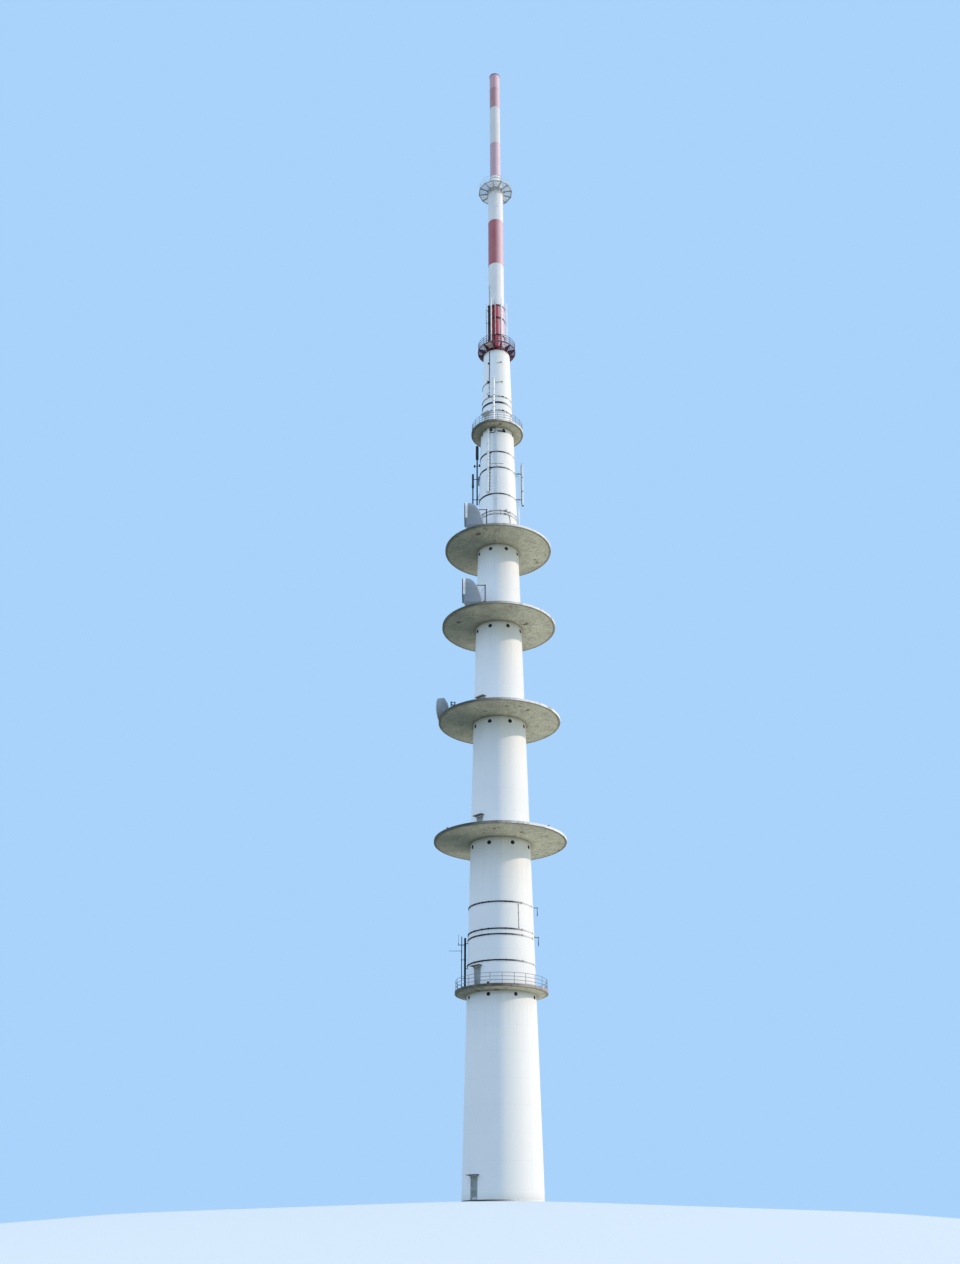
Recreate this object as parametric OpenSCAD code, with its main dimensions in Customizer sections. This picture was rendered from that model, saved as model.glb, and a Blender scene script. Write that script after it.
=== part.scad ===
// Telecommunications tower, scale model 1:10
// A hollow, tapering concrete shaft carries four wide disc platforms and two narrow galleries.
// A steel gallery, a caged antenna mast and two antenna cylinders stand on its top.
// +Z is up, the origin is on the underside of the ground slab at the axis, and the doors face -Y.
// Bearings are degrees from the door side, counter-clockwise seen from above.

/* [Shaft] */
// Outer radius of the concrete at the ground
shaft_base_r = 402; // [390:1:420]
// Radius lost for each 1000 mm of height
shaft_taper = 21.5; // [20:0.25:22.5]
// Thickness of the concrete wall
wall_t = 30; // [22:1:38]
// Thickness of the ground slab
ground_slab_t = 40; // [20:1:60]
// Step in of the wall above the upper gallery
upper_step = 9; // [4:0.5:14]

/* [Levels] */
// Floor of the lower gallery
lower_gallery_z = 2004; // [1950:2:2040]
// Rise from the lower gallery to platform 1
platform_1_rise = 1610; // [1550:2:1670]
// Rise from platform 1 to platform 2
platform_2_rise = 1409; // [1350:1:1460]
// Rise from platform 2 to platform 3
platform_3_rise = 1210; // [1160:1:1260]
// Rise from platform 3 to platform 4
platform_4_rise = 1053; // [1000:1:1100]
// Rise from platform 4 to the upper gallery
upper_gallery_rise = 1741; // [1680:1:1800]
// Height of the concrete above the upper gallery's floor
shaft_head_h = 1228; // [1180:1:1280]

/* [Platforms] */
// How far the four disc platforms stand out from the shaft
platform_overhang = 400; // [380:2:420]
// How far the two narrow galleries stand out from the shaft
gallery_overhang = 125; // [110:1:150]
// Thickness of a slab at its rim
rim_t = 26; // [16:1:36]
// Thickness of a slab where it meets the shaft
root_t = 46; // [38:1:60]

/* [Vents] */
// Number of vents in each ring
vent_count = 8; // [4:1:12]
// Diameter of the vents under the disc platforms
vent_d = 30; // [16:1:36]
// Depth of those vents below the slab
vent_drop = 60; // [40:1:80]
// Diameter of the vents under the narrow galleries
gallery_vent_d = 24; // [12:1:30]
// Depth of those vents below the slab
gallery_vent_drop = 34; // [24:1:60]

/* [Doors] */
// Width of a door
door_w = 95; // [80:1:110]
// Height of a door
door_h = 205; // [190:1:220]
// Thickness of a door leaf
door_t = 6; // [4:0.5:8]
// Depth of the leaf behind the wall's face at the door head
door_recess = 8; // [4:0.5:12]
// Width of the canopy over a door
canopy_w = 130; // [115:1:150]
// How far the canopy stands out
canopy_depth = 45; // [30:1:60]
// Thickness of the canopy
canopy_t = 6; // [4:0.5:10]
// Height of the canopy above the door head
canopy_rise = 8; // [4:1:20]

/* [Railings] */
// Height of the railings
railing_h = 110; // [90:1:125]
// Side of a railing bar
rail_t = 5; // [4:0.5:7]
// Distance of a railing from the rim
railing_inset = 8; // [4:1:20]
// Number of rails
rail_count = 3; // [2:1:4]
// Posts of a narrow gallery's railing
gallery_posts = 24; // [12:1:30]
// Posts of the steel gallery's railing
steel_gallery_posts = 12; // [8:1:16]

/* [Steel gallery] */
// Radius of the steel gallery at the top of the concrete
steel_gallery_r = 251; // [235:1:265]
// Rise of its floor above the concrete
steel_gallery_rise = 101; // [85:1:120]
// Thickness of its floor plate
steel_floor_t = 6; // [4:0.5:10]
// Height of the edge beam
edge_beam_h = 26; // [18:1:34]
// Thickness of the edge beam and the collar
edge_beam_t = 6; // [4:0.5:10]
// Number of brackets under the floor
bracket_count = 12; // [8:1:16]
// Thickness of a bracket
bracket_t = 5; // [4:0.5:8]
// Bearing of one bracket
bracket_turn = 1; // [0:1:29]
// Thickness of the base plate on the concrete
base_plate_t = 8; // [6:0.5:12]

/* [Antenna mast] */
// Radius of the red mast core
core_r = 90; // [80:1:95]
// Radius of the flanges on the core
flange_r = 116; // [112:1:120]
// Thickness of a flange
flange_t = 8; // [6:0.5:12]
// Rise of the lowest flange above the steel gallery's floor
flange_1_rise = 206; // [180:2:240]
// Rise from the lowest to the middle flange
flange_2_rise = 291; // [260:1:320]
// Depth of the top flange below the wide cylinder
flange_3_drop = 28; // [16:1:40]
// Height of the core from the steel gallery's floor to the wide cylinder
mast_core_h = 744; // [700:1:790]
// Number of tubes in the cage
cage_tubes_n = 6; // [3:1:8]
// Diameter of a cage tube
cage_tube_d = 16; // [10:1:20]
// Radius of the circle of cage tubes
cage_r = 138; // [134:1:146]
// How far the cage tubes pass the top flange
cage_over = 121; // [60:1:160]
// Bearing of the first cage tube
cage_turn = 14; // [0:1:28]
// Thickness of the arms that hold the cage tubes
cage_arm_t = 6; // [4:0.5:8]

/* [Antenna cylinders] */
// Radius of the wide cylinder
radome_r = 106; // [100:1:112]
// Height of its lower white part
radome_lower_h = 742; // [640:2:840]
// Height of its red band
radome_red_h = 810; // [700:2:900]
// Height of its upper white part
radome_upper_h = 559; // [480:1:640]
// Radius of the slim cylinder
slim_r = 75; // [68:1:80]
// Height of the white stub under the slim cylinder
slim_stub_h = 29; // [15:1:45]
// Height of its lower red band
slim_lower_h = 668; // [600:2:740]
// Height of its white band
slim_white_h = 755; // [680:1:840]
// Height of its upper red band
slim_upper_h = 698; // [620:2:780]

/* [Ring gallery] */
// Corner radius of the twelve-sided ring gallery
ring_r = 242; // [228:1:256]
// Rise of the underside of its frame above the wide cylinder
ring_rise = 45; // [30:1:60]
// Height of its frame bars
ring_bar_h = 12; // [8:1:16]
// Width of its frame bars
ring_bar_t = 6; // [4:0.5:8]
// Thickness of its grating
grating_t = 3; // [3:0.5:6]
// Radius of its hub
hub_r = 118; // [114:1:126]
// Rise of the top of the hub above the frame's underside
hub_over = 20; // [18:1:32]
// Bearing of one corner
ring_turn = 5; // [0:1:29]
// Radius of the white cone's foot above the hub
cone_r = 112; // [104:1:113]
// Height of the cone
mast_cone_h = 224; // [190:1:260]
// Radius of the flange on top of the cone
slim_flange_r = 84; // [82:1:92]
// Thickness of that flange
slim_flange_t = 10; // [6:0.5:14]

/* [Cap] */
// Radius of the cap on the slim cylinder
cap_r = 79; // [77:1:88]
// Thickness of the cap
cap_t = 12; // [8:1:20]
// Height of the warning lamps
lamp_h = 32; // [20:1:44]
// Diameter of the warning lamps
lamp_d = 18; // [12:1:24]
// Height of the lightning rod
rod_h = 90; // [60:1:130]
// Diameter of the lightning rod
rod_d = 5; // [4:0.5:8]

/* [Dishes] */
// Width of the two large shell antennas
shell_w = 220; // [190:2:236]
// Height of their side walls
shell_wall_h = 332; // [310:2:350]
// Depth from the back to the front of the cover
shell_depth = 243; // [232:1:256]
// Depth of the dark cover over the mouth
shell_cover_t = 13; // [8:0.5:20]
// Height of the lower edge of the mouth
shell_mouth_z = 186; // [160:1:210]
// Set-back of the throat below the mouth
shell_setback = 37; // [20:1:50]
// Width of the foot
shell_foot_w = 130; // [100:2:180]
// Clear distance from the canopy beside a shell antenna
shell_clear = 8; // [4:1:16]
// Distance of the shell's back from the axis plane on platform 4
shell_4_out = 168; // [160:1:176]
// Distance of the shell's back from the axis plane on platform 3
shell_3_out = 188; // [180:1:196]
// Bearing that the shell antennas face
shell_bearing = -45; // [-50:1:-40]
// Diameter of the small dish on platform 2
small_dish_d = 276; // [240:2:290]
// Depth of its shroud
small_dish_shroud = 65; // [50:1:80]
// Depth of its back
small_dish_back = 40; // [30:1:55]
// Bulge of its front cover
small_dish_front = 12; // [6:1:20]
// Clear height of the small dish above the floor
small_dish_clear = 8.5; // [5:0.5:20]
// Its sideways offset
small_dish_side = 165; // [140:1:180]
// Distance of its back from the axis plane
small_dish_out = 563; // [540:1:570]
// Bearing that the small dish faces
small_dish_bearing = -60; // [-70:1:-50]
// Diameter of an antenna post
post_d = 12; // [8:1:16]
// Radius of the hub on a dish's back
dish_hub_r = 25; // [18:1:32]
// Length of that hub behind the dish
dish_hub_l = 8; // [5:1:12]
// Clear distance from a dish's hub or a shell's back to its post
dish_arm_l = 20; // [10:1:30]
// Height of the dish's post above the dish's centre
post_over = 60; // [30:1:100]
// Height of a post behind a shell antenna
shell_post_h = 370; // [355:1:385]

/* [Side antennas] */
// Bearing of the left side antennas
left_bearing = -45; // [-60:1:-35]
// Distance of the left mast pipe from the wall at its foot
left_pipe_off = 27; // [22:1:36]
// Rise of its foot above platform 4
left_pipe_rise = 663; // [620:1:675]
// Length of the left mast pipe
left_pipe_l = 676; // [620:1:720]
// Length of the thick antenna on its top
left_thick_l = 215; // [160:1:260]
// Distance of the outer left rod from the left mast pipe
left_rod_off = 53; // [40:1:66]
// Length of the outer left rod
left_rod_l = 460; // [420:1:520]
// Bearing of the right side antennas
right_bearing = 135; // [120:1:150]
// Distance of the right mast pipe from the wall at its foot
right_pipe_off = 17; // [16:0.5:24]
// Length of the right mast pipe
right_pipe_l = 1150; // [1145:1:1230]
// Distance of the panel antenna from the right mast pipe
panel_off = 50; // [38:1:62]
// Rise of the foot of the panel antenna above platform 4
panel_rise = 649; // [620:1:680]
// Height of one panel antenna
panel_h = 208; // [180:1:230]
// Width of a panel antenna
panel_w = 30; // [20:1:40]
// Depth of a panel antenna
panel_depth = 20; // [12:1:28]
// Diameter of the mast pipes
pipe_d = 14; // [10:1:18]
// Diameter of the thick antenna
thick_d = 24; // [18:1:30]
// Diameter of the thin rods
rod_antenna_d = 8; // [6:1:12]
// Rise of the lower arms above platform 4
arm_low_rise = 739; // [710:1:780]
// Rise from the lower to the upper arms
arm_step = 305; // [260:1:320]
// Side of an arm
arm_t = 8; // [5:1:12]

/* [Low antennas] */
// Distance of the low mast pipe from the wall
low_pipe_off = 19; // [18:0.5:26]
// Diameter of that pipe
low_pipe_d = 18; // [12:1:20]
// Height of its top above the lower gallery's floor
low_pipe_h = 556; // [500:1:600]
// Distance of the rod antenna from the low mast pipe
low_rod_off = 36; // [28:1:46]
// Length of the thin rod
low_rod_h = 572; // [520:1:620]
// Distance of the whip antenna from the rod antenna
whip_off = 33; // [24:1:40]
// Length of the short whip
whip_l = 112; // [80:1:140]
// Height of the whip antenna's arm above the gallery's floor
whip_rise = 480; // [440:1:490]
// Length of the small beam antenna
beam_l = 130; // [90:1:150]
// Elements of the small beam antenna
beam_elements = 5; // [3:1:7]
// Height of the beam antenna above the gallery's floor
beam_rise = 420; // [380:1:440]
// Height of the upper stub's arm above the fourth low band
stub_1_over = 9; // [6:1:30]
// Height of the lower stub's arm above the second low band
stub_2_over = 34; // [18:1:38]
// How far the short antennas stand out
stub_out = 46; // [30:1:60]
// Length of a short antenna
stub_l = 90; // [60:1:130]

/* [Bands and lines] */
// Rise of the first band above the lower gallery's floor
low_band_1 = 251; // [235:1:265]
// Rise of the second band above that floor
low_band_2 = 516; // [500:1:530]
// Step from the second to the third band
low_band_step = 57; // [48:1:74]
// Rise of the fourth band above that floor
low_band_4 = 855; // [835:1:861]
// Rise of the first band above the floor of platform 4
mid_band_1 = 384; // [370:1:400]
// Step from the first to the second band
mid_band_step = 44; // [32:1:60]
// Rise of the third band above that floor
mid_band_3 = 679; // [660:1:695]
// Rise of the fourth band above that floor
mid_band_4 = 1075; // [1072:1:1100]
// Rise of the fifth band above that floor
mid_band_5 = 1313; // [1300:1:1325]
// Height of the first band above the upper door's canopy
high_band_over = 13; // [6:1:60]
// Rise of the thick band above that floor
high_band_2 = 353; // [340:1:370]
// Clear height between the thick band and the last band
high_band_gap = 81; // [50:1:100]
// How far a band stands out from the wall
band_t = 6; // [4:0.5:10]
// Height of a thin band
band_h = 12; // [8:1:16]
// Height of the thick band near the top
thick_band_h = 22; // [16:1:30]
// Bearing of the lower cable duct
duct_bearing = 14; // [12:1:20]
// Width of a cable duct in degrees
duct_deg = 8; // [5:0.5:10]
// Depth of a cable duct
duct_depth = 18; // [12:1:24]
// Rise of the foot of the lower duct above platform 4
duct_rise = 714; // [705:1:800]
// Bearing of the upper cable duct
upper_duct_bearing = 32; // [28:1:36]
// Length of the upper duct
upper_duct_l = 763; // [680:1:820]
// Bearing of the dark cable line near the top
line_bearing = 12; // [8:1:16]
// Clear height of the dark cable line above the last band
line_over = 15; // [5:1:60]
// Width of the dark cable line in degrees
line_deg = 3; // [2:0.5:5]
// Depth of the dark cable line
line_depth = 8; // [5:1:12]
// Bearing of the ladder
ladder_bearing = 37; // [34:1:42]
// Width of the ladder
ladder_w = 40; // [30:1:46]
// Distance from rung to rung
rung_step = 30; // [25:1:40]
// Distance of the ladder from the wall
ladder_off = 16; // [12:1:22]
// Side of the ladder's bars
ladder_t = 4; // [3:0.5:6]

/* [Feeders] */
// Bearing of the grey feeder duct beside the core
feeder_bearing = -12; // [-16:1:-8]
// Width of the feeder duct
feeder_w = 26; // [18:1:30]
// Depth of the feeder duct
feeder_depth = 18; // [12:1:20]
// Bearing of the slim riser in front of the core
riser_bearing = 36; // [33:1:40]
// Diameter of the riser
riser_d = 10; // [6:1:12]
// Length of the pipe on the foot of the wide cylinder
feeder_pipe_l = 378; // [200:2:500]

/* [Rim lamps] */
// Side of a lamp on the rim of platform 1
rim_lamp = 20; // [14:1:28]
// Distance of the lamps from the rim
rim_lamp_inset = 12; // [6:1:30]
// Bearing of the left lamp
rim_lamp_left = -9; // [-30:1:10]
// Bearing of the right lamp
rim_lamp_right = 91; // [70:1:110]
// Diameter of the lamp on the rim of the lower gallery
globe_d = 24; // [16:1:28]
// Bearing of that lamp
globe_bearing = 27; // [16:1:29]

/* [Hidden] */
fit_gap = 0.2;
joint_w = 1;
ring_sides = 12;
platform_1_z = lower_gallery_z + platform_1_rise;
platform_2_z = platform_1_z + platform_2_rise;
platform_3_z = platform_2_z + platform_3_rise;
platform_4_z = platform_3_z + platform_4_rise;
upper_gallery_z = platform_4_z + upper_gallery_rise;
shaft_top_z = upper_gallery_z + shaft_head_h;
steel_gallery_z = shaft_top_z + steel_gallery_rise;
radome_z = steel_gallery_z + mast_core_h;
flange_1_z = steel_gallery_z + flange_1_rise;
flange_2_z = flange_1_z + flange_2_rise;
flange_3_z = radome_z - flange_3_drop;
cage_top_z = flange_3_z + cage_over;
radome_red_z = radome_z + radome_lower_h;
radome_white_z = radome_red_z + radome_red_h;
radome_top_z = radome_white_z + radome_upper_h;
ring_z = radome_top_z + ring_rise;
hub_top_z = ring_z + hub_over;
cone_top_z = hub_top_z + mast_cone_h;
slim_z = cone_top_z + slim_flange_t + slim_stub_h;
slim_white_z = slim_z + slim_lower_h;
slim_red_z = slim_white_z + slim_white_h;
slim_top_z = slim_red_z + slim_upper_h;
small_dish_h = small_dish_d / 2 + small_dish_clear;
levels = [lower_gallery_z, platform_1_z, platform_2_z, platform_3_z, platform_4_z, upper_gallery_z];
white = "gainsboro";
concrete = "darkgray";
red = "firebrick";
dark = "dimgray";

// Outer radius of the concrete below and above the upper gallery
function shaft_r(z) = shaft_base_r - shaft_taper * z / 1000;
function wall_r(z) = z < upper_gallery_z ? shaft_r(z) : shaft_r(z) - upper_step;

// Turns what is drawn on the -Y side to a bearing
module bearing(b) {
    rotate([0, 0, b]) children();
}

// The doorways on the door side, one at each floor
module doorway(z) {
    out_r = wall_r(z) + wall_t;
    translate([-door_w / 2, -out_r, z - joint_w]) cube([door_w, wall_t * 3, door_h + joint_w]);
}

module vent_ring(z, d) {
    for (i = [0:vent_count - 1])
        bearing((i + 0.5) * 360 / vent_count)
            translate([0, -wall_r(z), z])
                rotate([90, 0, 0]) cylinder(d = d, h = wall_t * 4, center = true, $fn = 48);
}

module wall_tube(z0, z1, r0, r1) {
    rotate_extrude($fn = 180)
        polygon([[r0 - wall_t, z0], [r0, z0], [r1, z1], [r1 - wall_t, z1]]);
}

// A storey of the shaft, from a floor to the underside of the next slab
module storey(z0, z1, d, drop) {
    difference() {
        wall_tube(z0, z1, shaft_r(z0), shaft_r(z1));
        doorway(z0);
        vent_ring(z1 - drop, d);
    }
}

// A slab with a level floor and an underside that falls towards the shaft
module slab(z, overhang) {
    rim_r = shaft_r(z) + overhang;
    root_r = shaft_r(z - root_t);
    rotate_extrude($fn = 180)
        polygon([[0, z - root_t], [root_r, z - root_t], [rim_r, z - rim_t], [rim_r, z], [0, z]]);
}

module ground_slab() {
    color(concrete) cylinder(r = shaft_base_r, h = ground_slab_t, $fn = 180);
}

module shaft_foot() {
    color(white) storey(ground_slab_t, lower_gallery_z - root_t, gallery_vent_d, gallery_vent_drop);
}

module shaft_first() {
    color(white) storey(lower_gallery_z, platform_1_z - root_t, vent_d, vent_drop);
}

module shaft_second() {
    color(white) storey(platform_1_z, platform_2_z - root_t, vent_d, vent_drop);
}

module shaft_third() {
    color(white) storey(platform_2_z, platform_3_z - root_t, vent_d, vent_drop);
}

module shaft_fourth() {
    color(white) storey(platform_3_z, platform_4_z - root_t, vent_d, vent_drop);
}

module shaft_fifth() {
    color(white) storey(platform_4_z, upper_gallery_z - root_t, gallery_vent_d, gallery_vent_drop);
}

module shaft_top() {
    color(white) difference() {
        wall_tube(upper_gallery_z, shaft_top_z, wall_r(upper_gallery_z), wall_r(shaft_top_z));
        doorway(upper_gallery_z);
    }
}

module lower_gallery() {
    color(concrete) slab(lower_gallery_z, gallery_overhang);
}

module platform_1() {
    color(concrete) slab(platform_1_z, platform_overhang);
}

module platform_2() {
    color(concrete) slab(platform_2_z, platform_overhang);
}

module platform_3() {
    color(concrete) slab(platform_3_z, platform_overhang);
}

module platform_4() {
    color(concrete) slab(platform_4_z, platform_overhang);
}

module upper_gallery() {
    color(concrete) slab(upper_gallery_z, gallery_overhang);
}

module door_leaf(z) {
    face_r = wall_r(z + door_h) - door_recess;
    translate([-door_w / 2, -face_r, z]) cube([door_w, door_t, door_h]);
}

module doors() {
    color("slategray") {
        door_leaf(ground_slab_t);
        for (z = levels) door_leaf(z);
    }
}

// A flat canopy whose back follows the wall
module canopy(z) {
    foot_z = z + door_h + canopy_rise;
    difference() {
        translate([-canopy_w / 2, -wall_r(foot_z) - canopy_depth, foot_z])
            cube([canopy_w, canopy_depth + wall_t, canopy_t]);
        translate([0, 0, foot_z - joint_w])
            cylinder(r1 = wall_r(foot_z - joint_w), r2 = wall_r(foot_z + canopy_t + joint_w),
                     h = canopy_t + 2 * joint_w, $fn = 180);
    }
}

module door_canopies() {
    color(white) {
        canopy(ground_slab_t);
        for (z = levels) canopy(z);
    }
}

// A round railing of square bars, standing on a floor
module railing(z, r, posts) {
    for (i = [1:rail_count])
        translate([0, 0, z + railing_h * i / rail_count - rail_t])
            rotate_extrude($fn = 120) translate([r - rail_t, 0]) square(rail_t);
    for (i = [0:posts - 1])
        bearing(i * 360 / posts)
            translate([-rail_t / 2, -r, z]) cube([rail_t, rail_t, railing_h - rail_t / 2]);
}

module lower_gallery_railing() {
    color(white) railing(lower_gallery_z,
                         shaft_r(lower_gallery_z) + gallery_overhang - railing_inset, gallery_posts);
}

module upper_gallery_railing() {
    color(white) railing(upper_gallery_z,
                         shaft_r(upper_gallery_z) + gallery_overhang - railing_inset, gallery_posts);
}

module steel_gallery_floor() {
    inner_r = steel_gallery_r - edge_beam_t;
    under_z = steel_gallery_z - steel_floor_t;
    beam_foot_z = steel_gallery_z - edge_beam_h;
    color(red) rotate_extrude($fn = 120)
        polygon([[0, under_z], [inner_r, under_z], [inner_r, beam_foot_z],
                 [steel_gallery_r, beam_foot_z], [steel_gallery_r, steel_gallery_z],
                 [0, steel_gallery_z]]);
}

// A base plate on the concrete, the foot of the core and brackets out to the edge beam
module steel_gallery_brackets() {
    plate_r = wall_r(shaft_top_z);
    under_z = steel_gallery_z - steel_floor_t;
    tip_r = steel_gallery_r - edge_beam_t - fit_gap;
    color(red) {
        translate([0, 0, shaft_top_z]) cylinder(r = plate_r, h = base_plate_t, $fn = 120);
        translate([0, 0, shaft_top_z]) cylinder(r = core_r, h = under_z - shaft_top_z, $fn = 96);
        for (i = [0:bracket_count - 1])
            bearing(bracket_turn + i * 360 / bracket_count)
                translate([bracket_t / 2, 0, 0])
                    rotate([90, 0, -90])
                        linear_extrude(bracket_t)
                            polygon([[core_r / 2, shaft_top_z], [plate_r, shaft_top_z],
                                     [tip_r, steel_gallery_z - edge_beam_h], [tip_r, under_z],
                                     [core_r / 2, under_z]]);
    }
}

module steel_gallery_railing() {
    color(red) railing(steel_gallery_z, steel_gallery_r - rail_t, steel_gallery_posts);
}

// The round core of the caged mast with its flanges
module mast_core() {
    color(red) {
        translate([0, 0, steel_gallery_z])
            cylinder(r = core_r, h = radome_z - steel_gallery_z, $fn = 96);
        for (z = [steel_gallery_z, flange_1_z, flange_2_z, flange_3_z])
            translate([0, 0, z]) cylinder(r = flange_r, h = flange_t, $fn = 96);
    }
}

module cage_tubes() {
    arm_l = cage_r - flange_r - fit_gap;
    color(white) for (i = [0:cage_tubes_n - 1])
        bearing(cage_turn + i * 360 / cage_tubes_n) {
            translate([0, -cage_r, steel_gallery_z])
                cylinder(d = cage_tube_d, h = cage_top_z - steel_gallery_z, $fn = 24);
            for (z = [flange_1_z, flange_2_z, flange_3_z])
                translate([-cage_arm_t / 2, -cage_r, z])
                    cube([cage_arm_t, arm_l, flange_t]);
        }
}

module band_cylinder(z0, z1, r) {
    translate([0, 0, z0]) cylinder(r = r, h = z1 - z0, $fn = 96);
}

module radome_lower_white() {
    color(white) band_cylinder(radome_z, radome_red_z, radome_r);
}

module radome_red() {
    color(red) band_cylinder(radome_red_z, radome_white_z, radome_r);
}

module radome_upper_white() {
    color(white) band_cylinder(radome_white_z, radome_top_z, radome_r);
}

module slim_lower_red() {
    color(red) band_cylinder(slim_z, slim_white_z, slim_r);
}

module slim_white() {
    color(white) band_cylinder(slim_white_z, slim_red_z, slim_r);
}

module slim_upper_red() {
    color(red) band_cylinder(slim_red_z, slim_top_z, slim_r);
}

// A twelve-sided plate with one corner at a bearing of zero
module ring_plate(r, h) {
    rotate([0, 0, -90]) cylinder(r = r, h = h, $fn = ring_sides);
}

module ring_gallery_frame() {
    bar_l = ring_r - hub_r + ring_bar_t / 2;
    color(white) {
        translate([0, 0, radome_top_z]) cylinder(r = hub_r, h = hub_top_z - radome_top_z, $fn = 96);
        bearing(ring_turn) translate([0, 0, ring_z]) linear_extrude(ring_bar_h) {
            rotate(-90) difference() {
                circle(r = ring_r, $fn = ring_sides);
                circle(r = ring_r - ring_bar_t, $fn = ring_sides);
            }
            for (i = [0:ring_sides - 1])
                rotate(i * 360 / ring_sides) translate([-ring_bar_t / 2, -ring_r + ring_bar_t / 2])
                    square([ring_bar_t, bar_l]);
        }
    }
}

module ring_gallery_grating() {
    color(dark) bearing(ring_turn) translate([0, 0, ring_z + ring_bar_h]) difference() {
        ring_plate(ring_r, grating_t);
        translate([0, 0, -joint_w])
            cylinder(r = hub_r + fit_gap, h = grating_t + 2 * joint_w, $fn = 96);
    }
}

module ring_gallery_railing() {
    foot_z = ring_z + ring_bar_h + grating_t;
    rail_r = ring_r - railing_inset;
    color(white) bearing(ring_turn) {
        for (i = [1:2])
            translate([0, 0, foot_z + railing_h * i / 2 - rail_t]) difference() {
                ring_plate(rail_r, rail_t);
                translate([0, 0, -joint_w]) ring_plate(rail_r - rail_t, rail_t + 2 * joint_w);
            }
        for (i = [0:ring_sides - 1])
            bearing(i * 360 / ring_sides)
                translate([-rail_t / 2, -rail_r + rail_t / 2, foot_z])
                    cube([rail_t, rail_t, railing_h - rail_t / 2]);
    }
}

// The white cone from the wide to the slim cylinder
module mast_cone() {
    color(white) {
        translate([0, 0, hub_top_z])
            cylinder(r1 = cone_r, r2 = slim_r, h = cone_top_z - hub_top_z, $fn = 96);
        translate([0, 0, cone_top_z]) cylinder(r = slim_flange_r, h = slim_flange_t, $fn = 96);
        band_cylinder(cone_top_z + slim_flange_t, slim_z, slim_r);
    }
}

module mast_cap() {
    color(dark) {
        translate([0, 0, slim_top_z]) cylinder(r = cap_r, h = cap_t, $fn = 96);
        for (x = [-1, 1])
            translate([x * slim_r / 2, 0, slim_top_z + cap_t])
                cylinder(d = lamp_d, h = lamp_h, $fn = 24);
        translate([0, slim_r / 3, slim_top_z + cap_t]) cylinder(d = rod_d, h = rod_h, $fn = 16);
    }
}

// Half width of a shell's foot and the height to the top of its arch
shell_arch_r = shell_w / 2;
shell_h = shell_wall_h + shell_arch_r;

// Side outline of a shell: depth from the back against height, from the foot up the curved back
function shell_back() = [
    [0.30, 0], [0.04, 0.02], [0, 0.22], [0.06, 0.35], [0.12, 0.445], [0.195, 0.56], [0.265, 0.67],
    [0.37, 0.76], [0.50, 0.86], [0.66, 0.94], [0.82, 0.985], [1, 1],
];

// Depth of the curved back at a height
function back_at(h) =
    lookup(h / shell_h, [for (q = shell_back()) [q[1], q[0]]]) * (shell_depth - shell_cover_t);

// Front outline of a shell: a foot that widens to upright sides under a round arch
module shell_front(low) {
    intersection() {
        union() {
            polygon([[-shell_foot_w / 2, 0], [shell_foot_w / 2, 0], [shell_arch_r, shell_mouth_z / 2],
                     [shell_arch_r, shell_wall_h], [-shell_arch_r, shell_wall_h],
                     [-shell_arch_r, shell_mouth_z / 2]]);
            translate([0, shell_wall_h]) circle(r = shell_arch_r, $fn = 96);
        }
        translate([-shell_w, low]) square([2 * shell_w, shell_h]);
    }
}

// A shell antenna that faces -Y, standing on a floor
module shell_antenna(side, out, z) {
    body_l = shell_depth - shell_cover_t;
    throat_l = shell_depth - shell_setback;
    translate([side, -out, z]) {
        intersection() {
            translate([-shell_w / 2, 0, 0]) rotate([90, 0, 90]) linear_extrude(shell_w)
                polygon(concat([for (q = shell_back()) [-q[0] * body_l, q[1] * shell_h]],
                               [[-body_l, shell_mouth_z], [-throat_l, shell_mouth_z - shell_setback],
                                [-throat_l, 0]]));
            rotate([90, 0, 0]) linear_extrude(shell_depth) shell_front(0);
        }
        translate([0, -body_l, 0]) rotate([90, 0, 0]) linear_extrude(shell_cover_t)
            shell_front(shell_mouth_z);
    }
}

// Sideways place of a shell: its inner side keeps clear of the canopy over the door
function shell_side(z, out) =
    (wall_r(z + door_h) + canopy_depth + shell_clear - out * cos(shell_bearing)) / -sin(shell_bearing)
    + shell_w / 2;

// Half profile of a dish: bulging cover, shroud, curved back and hub; z grows towards the front
function dish_profile(r, shroud, back, front, steps) = concat(
    [[0, -dish_hub_l], [dish_hub_r, -dish_hub_l], [dish_hub_r, back * pow(dish_hub_r / r, 2)]],
    [for (i = [1:steps]) let (q = dish_hub_r + (r - dish_hub_r) * i / steps) [q, back * q * q / r / r]],
    [for (i = [0:steps]) let (q = r * (1 - i / steps)) [q, back + shroud + front * (1 - q * q / r / r)]]
);

// A dish that faces -Y, its back at a distance from the axis plane
module dish(d, shroud, back, front, side, out, z) {
    translate([side, -out, z]) rotate([90, 0, 0])
        rotate_extrude($fn = 72) polygon(dish_profile(d / 2, shroud, back, front, 8));
}

module dish_platform_2() {
    color(white) bearing(small_dish_bearing)
        dish(small_dish_d, small_dish_shroud, small_dish_back, small_dish_front, small_dish_side,
             small_dish_out, platform_2_z + small_dish_h);
}

module shell_platform_3() {
    color(white) bearing(shell_bearing)
        shell_antenna(shell_side(platform_3_z, shell_3_out), shell_3_out, platform_3_z);
}

module shell_platform_4() {
    color(white) bearing(shell_bearing)
        shell_antenna(shell_side(platform_4_z, shell_4_out), shell_4_out, platform_4_z);
}

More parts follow.
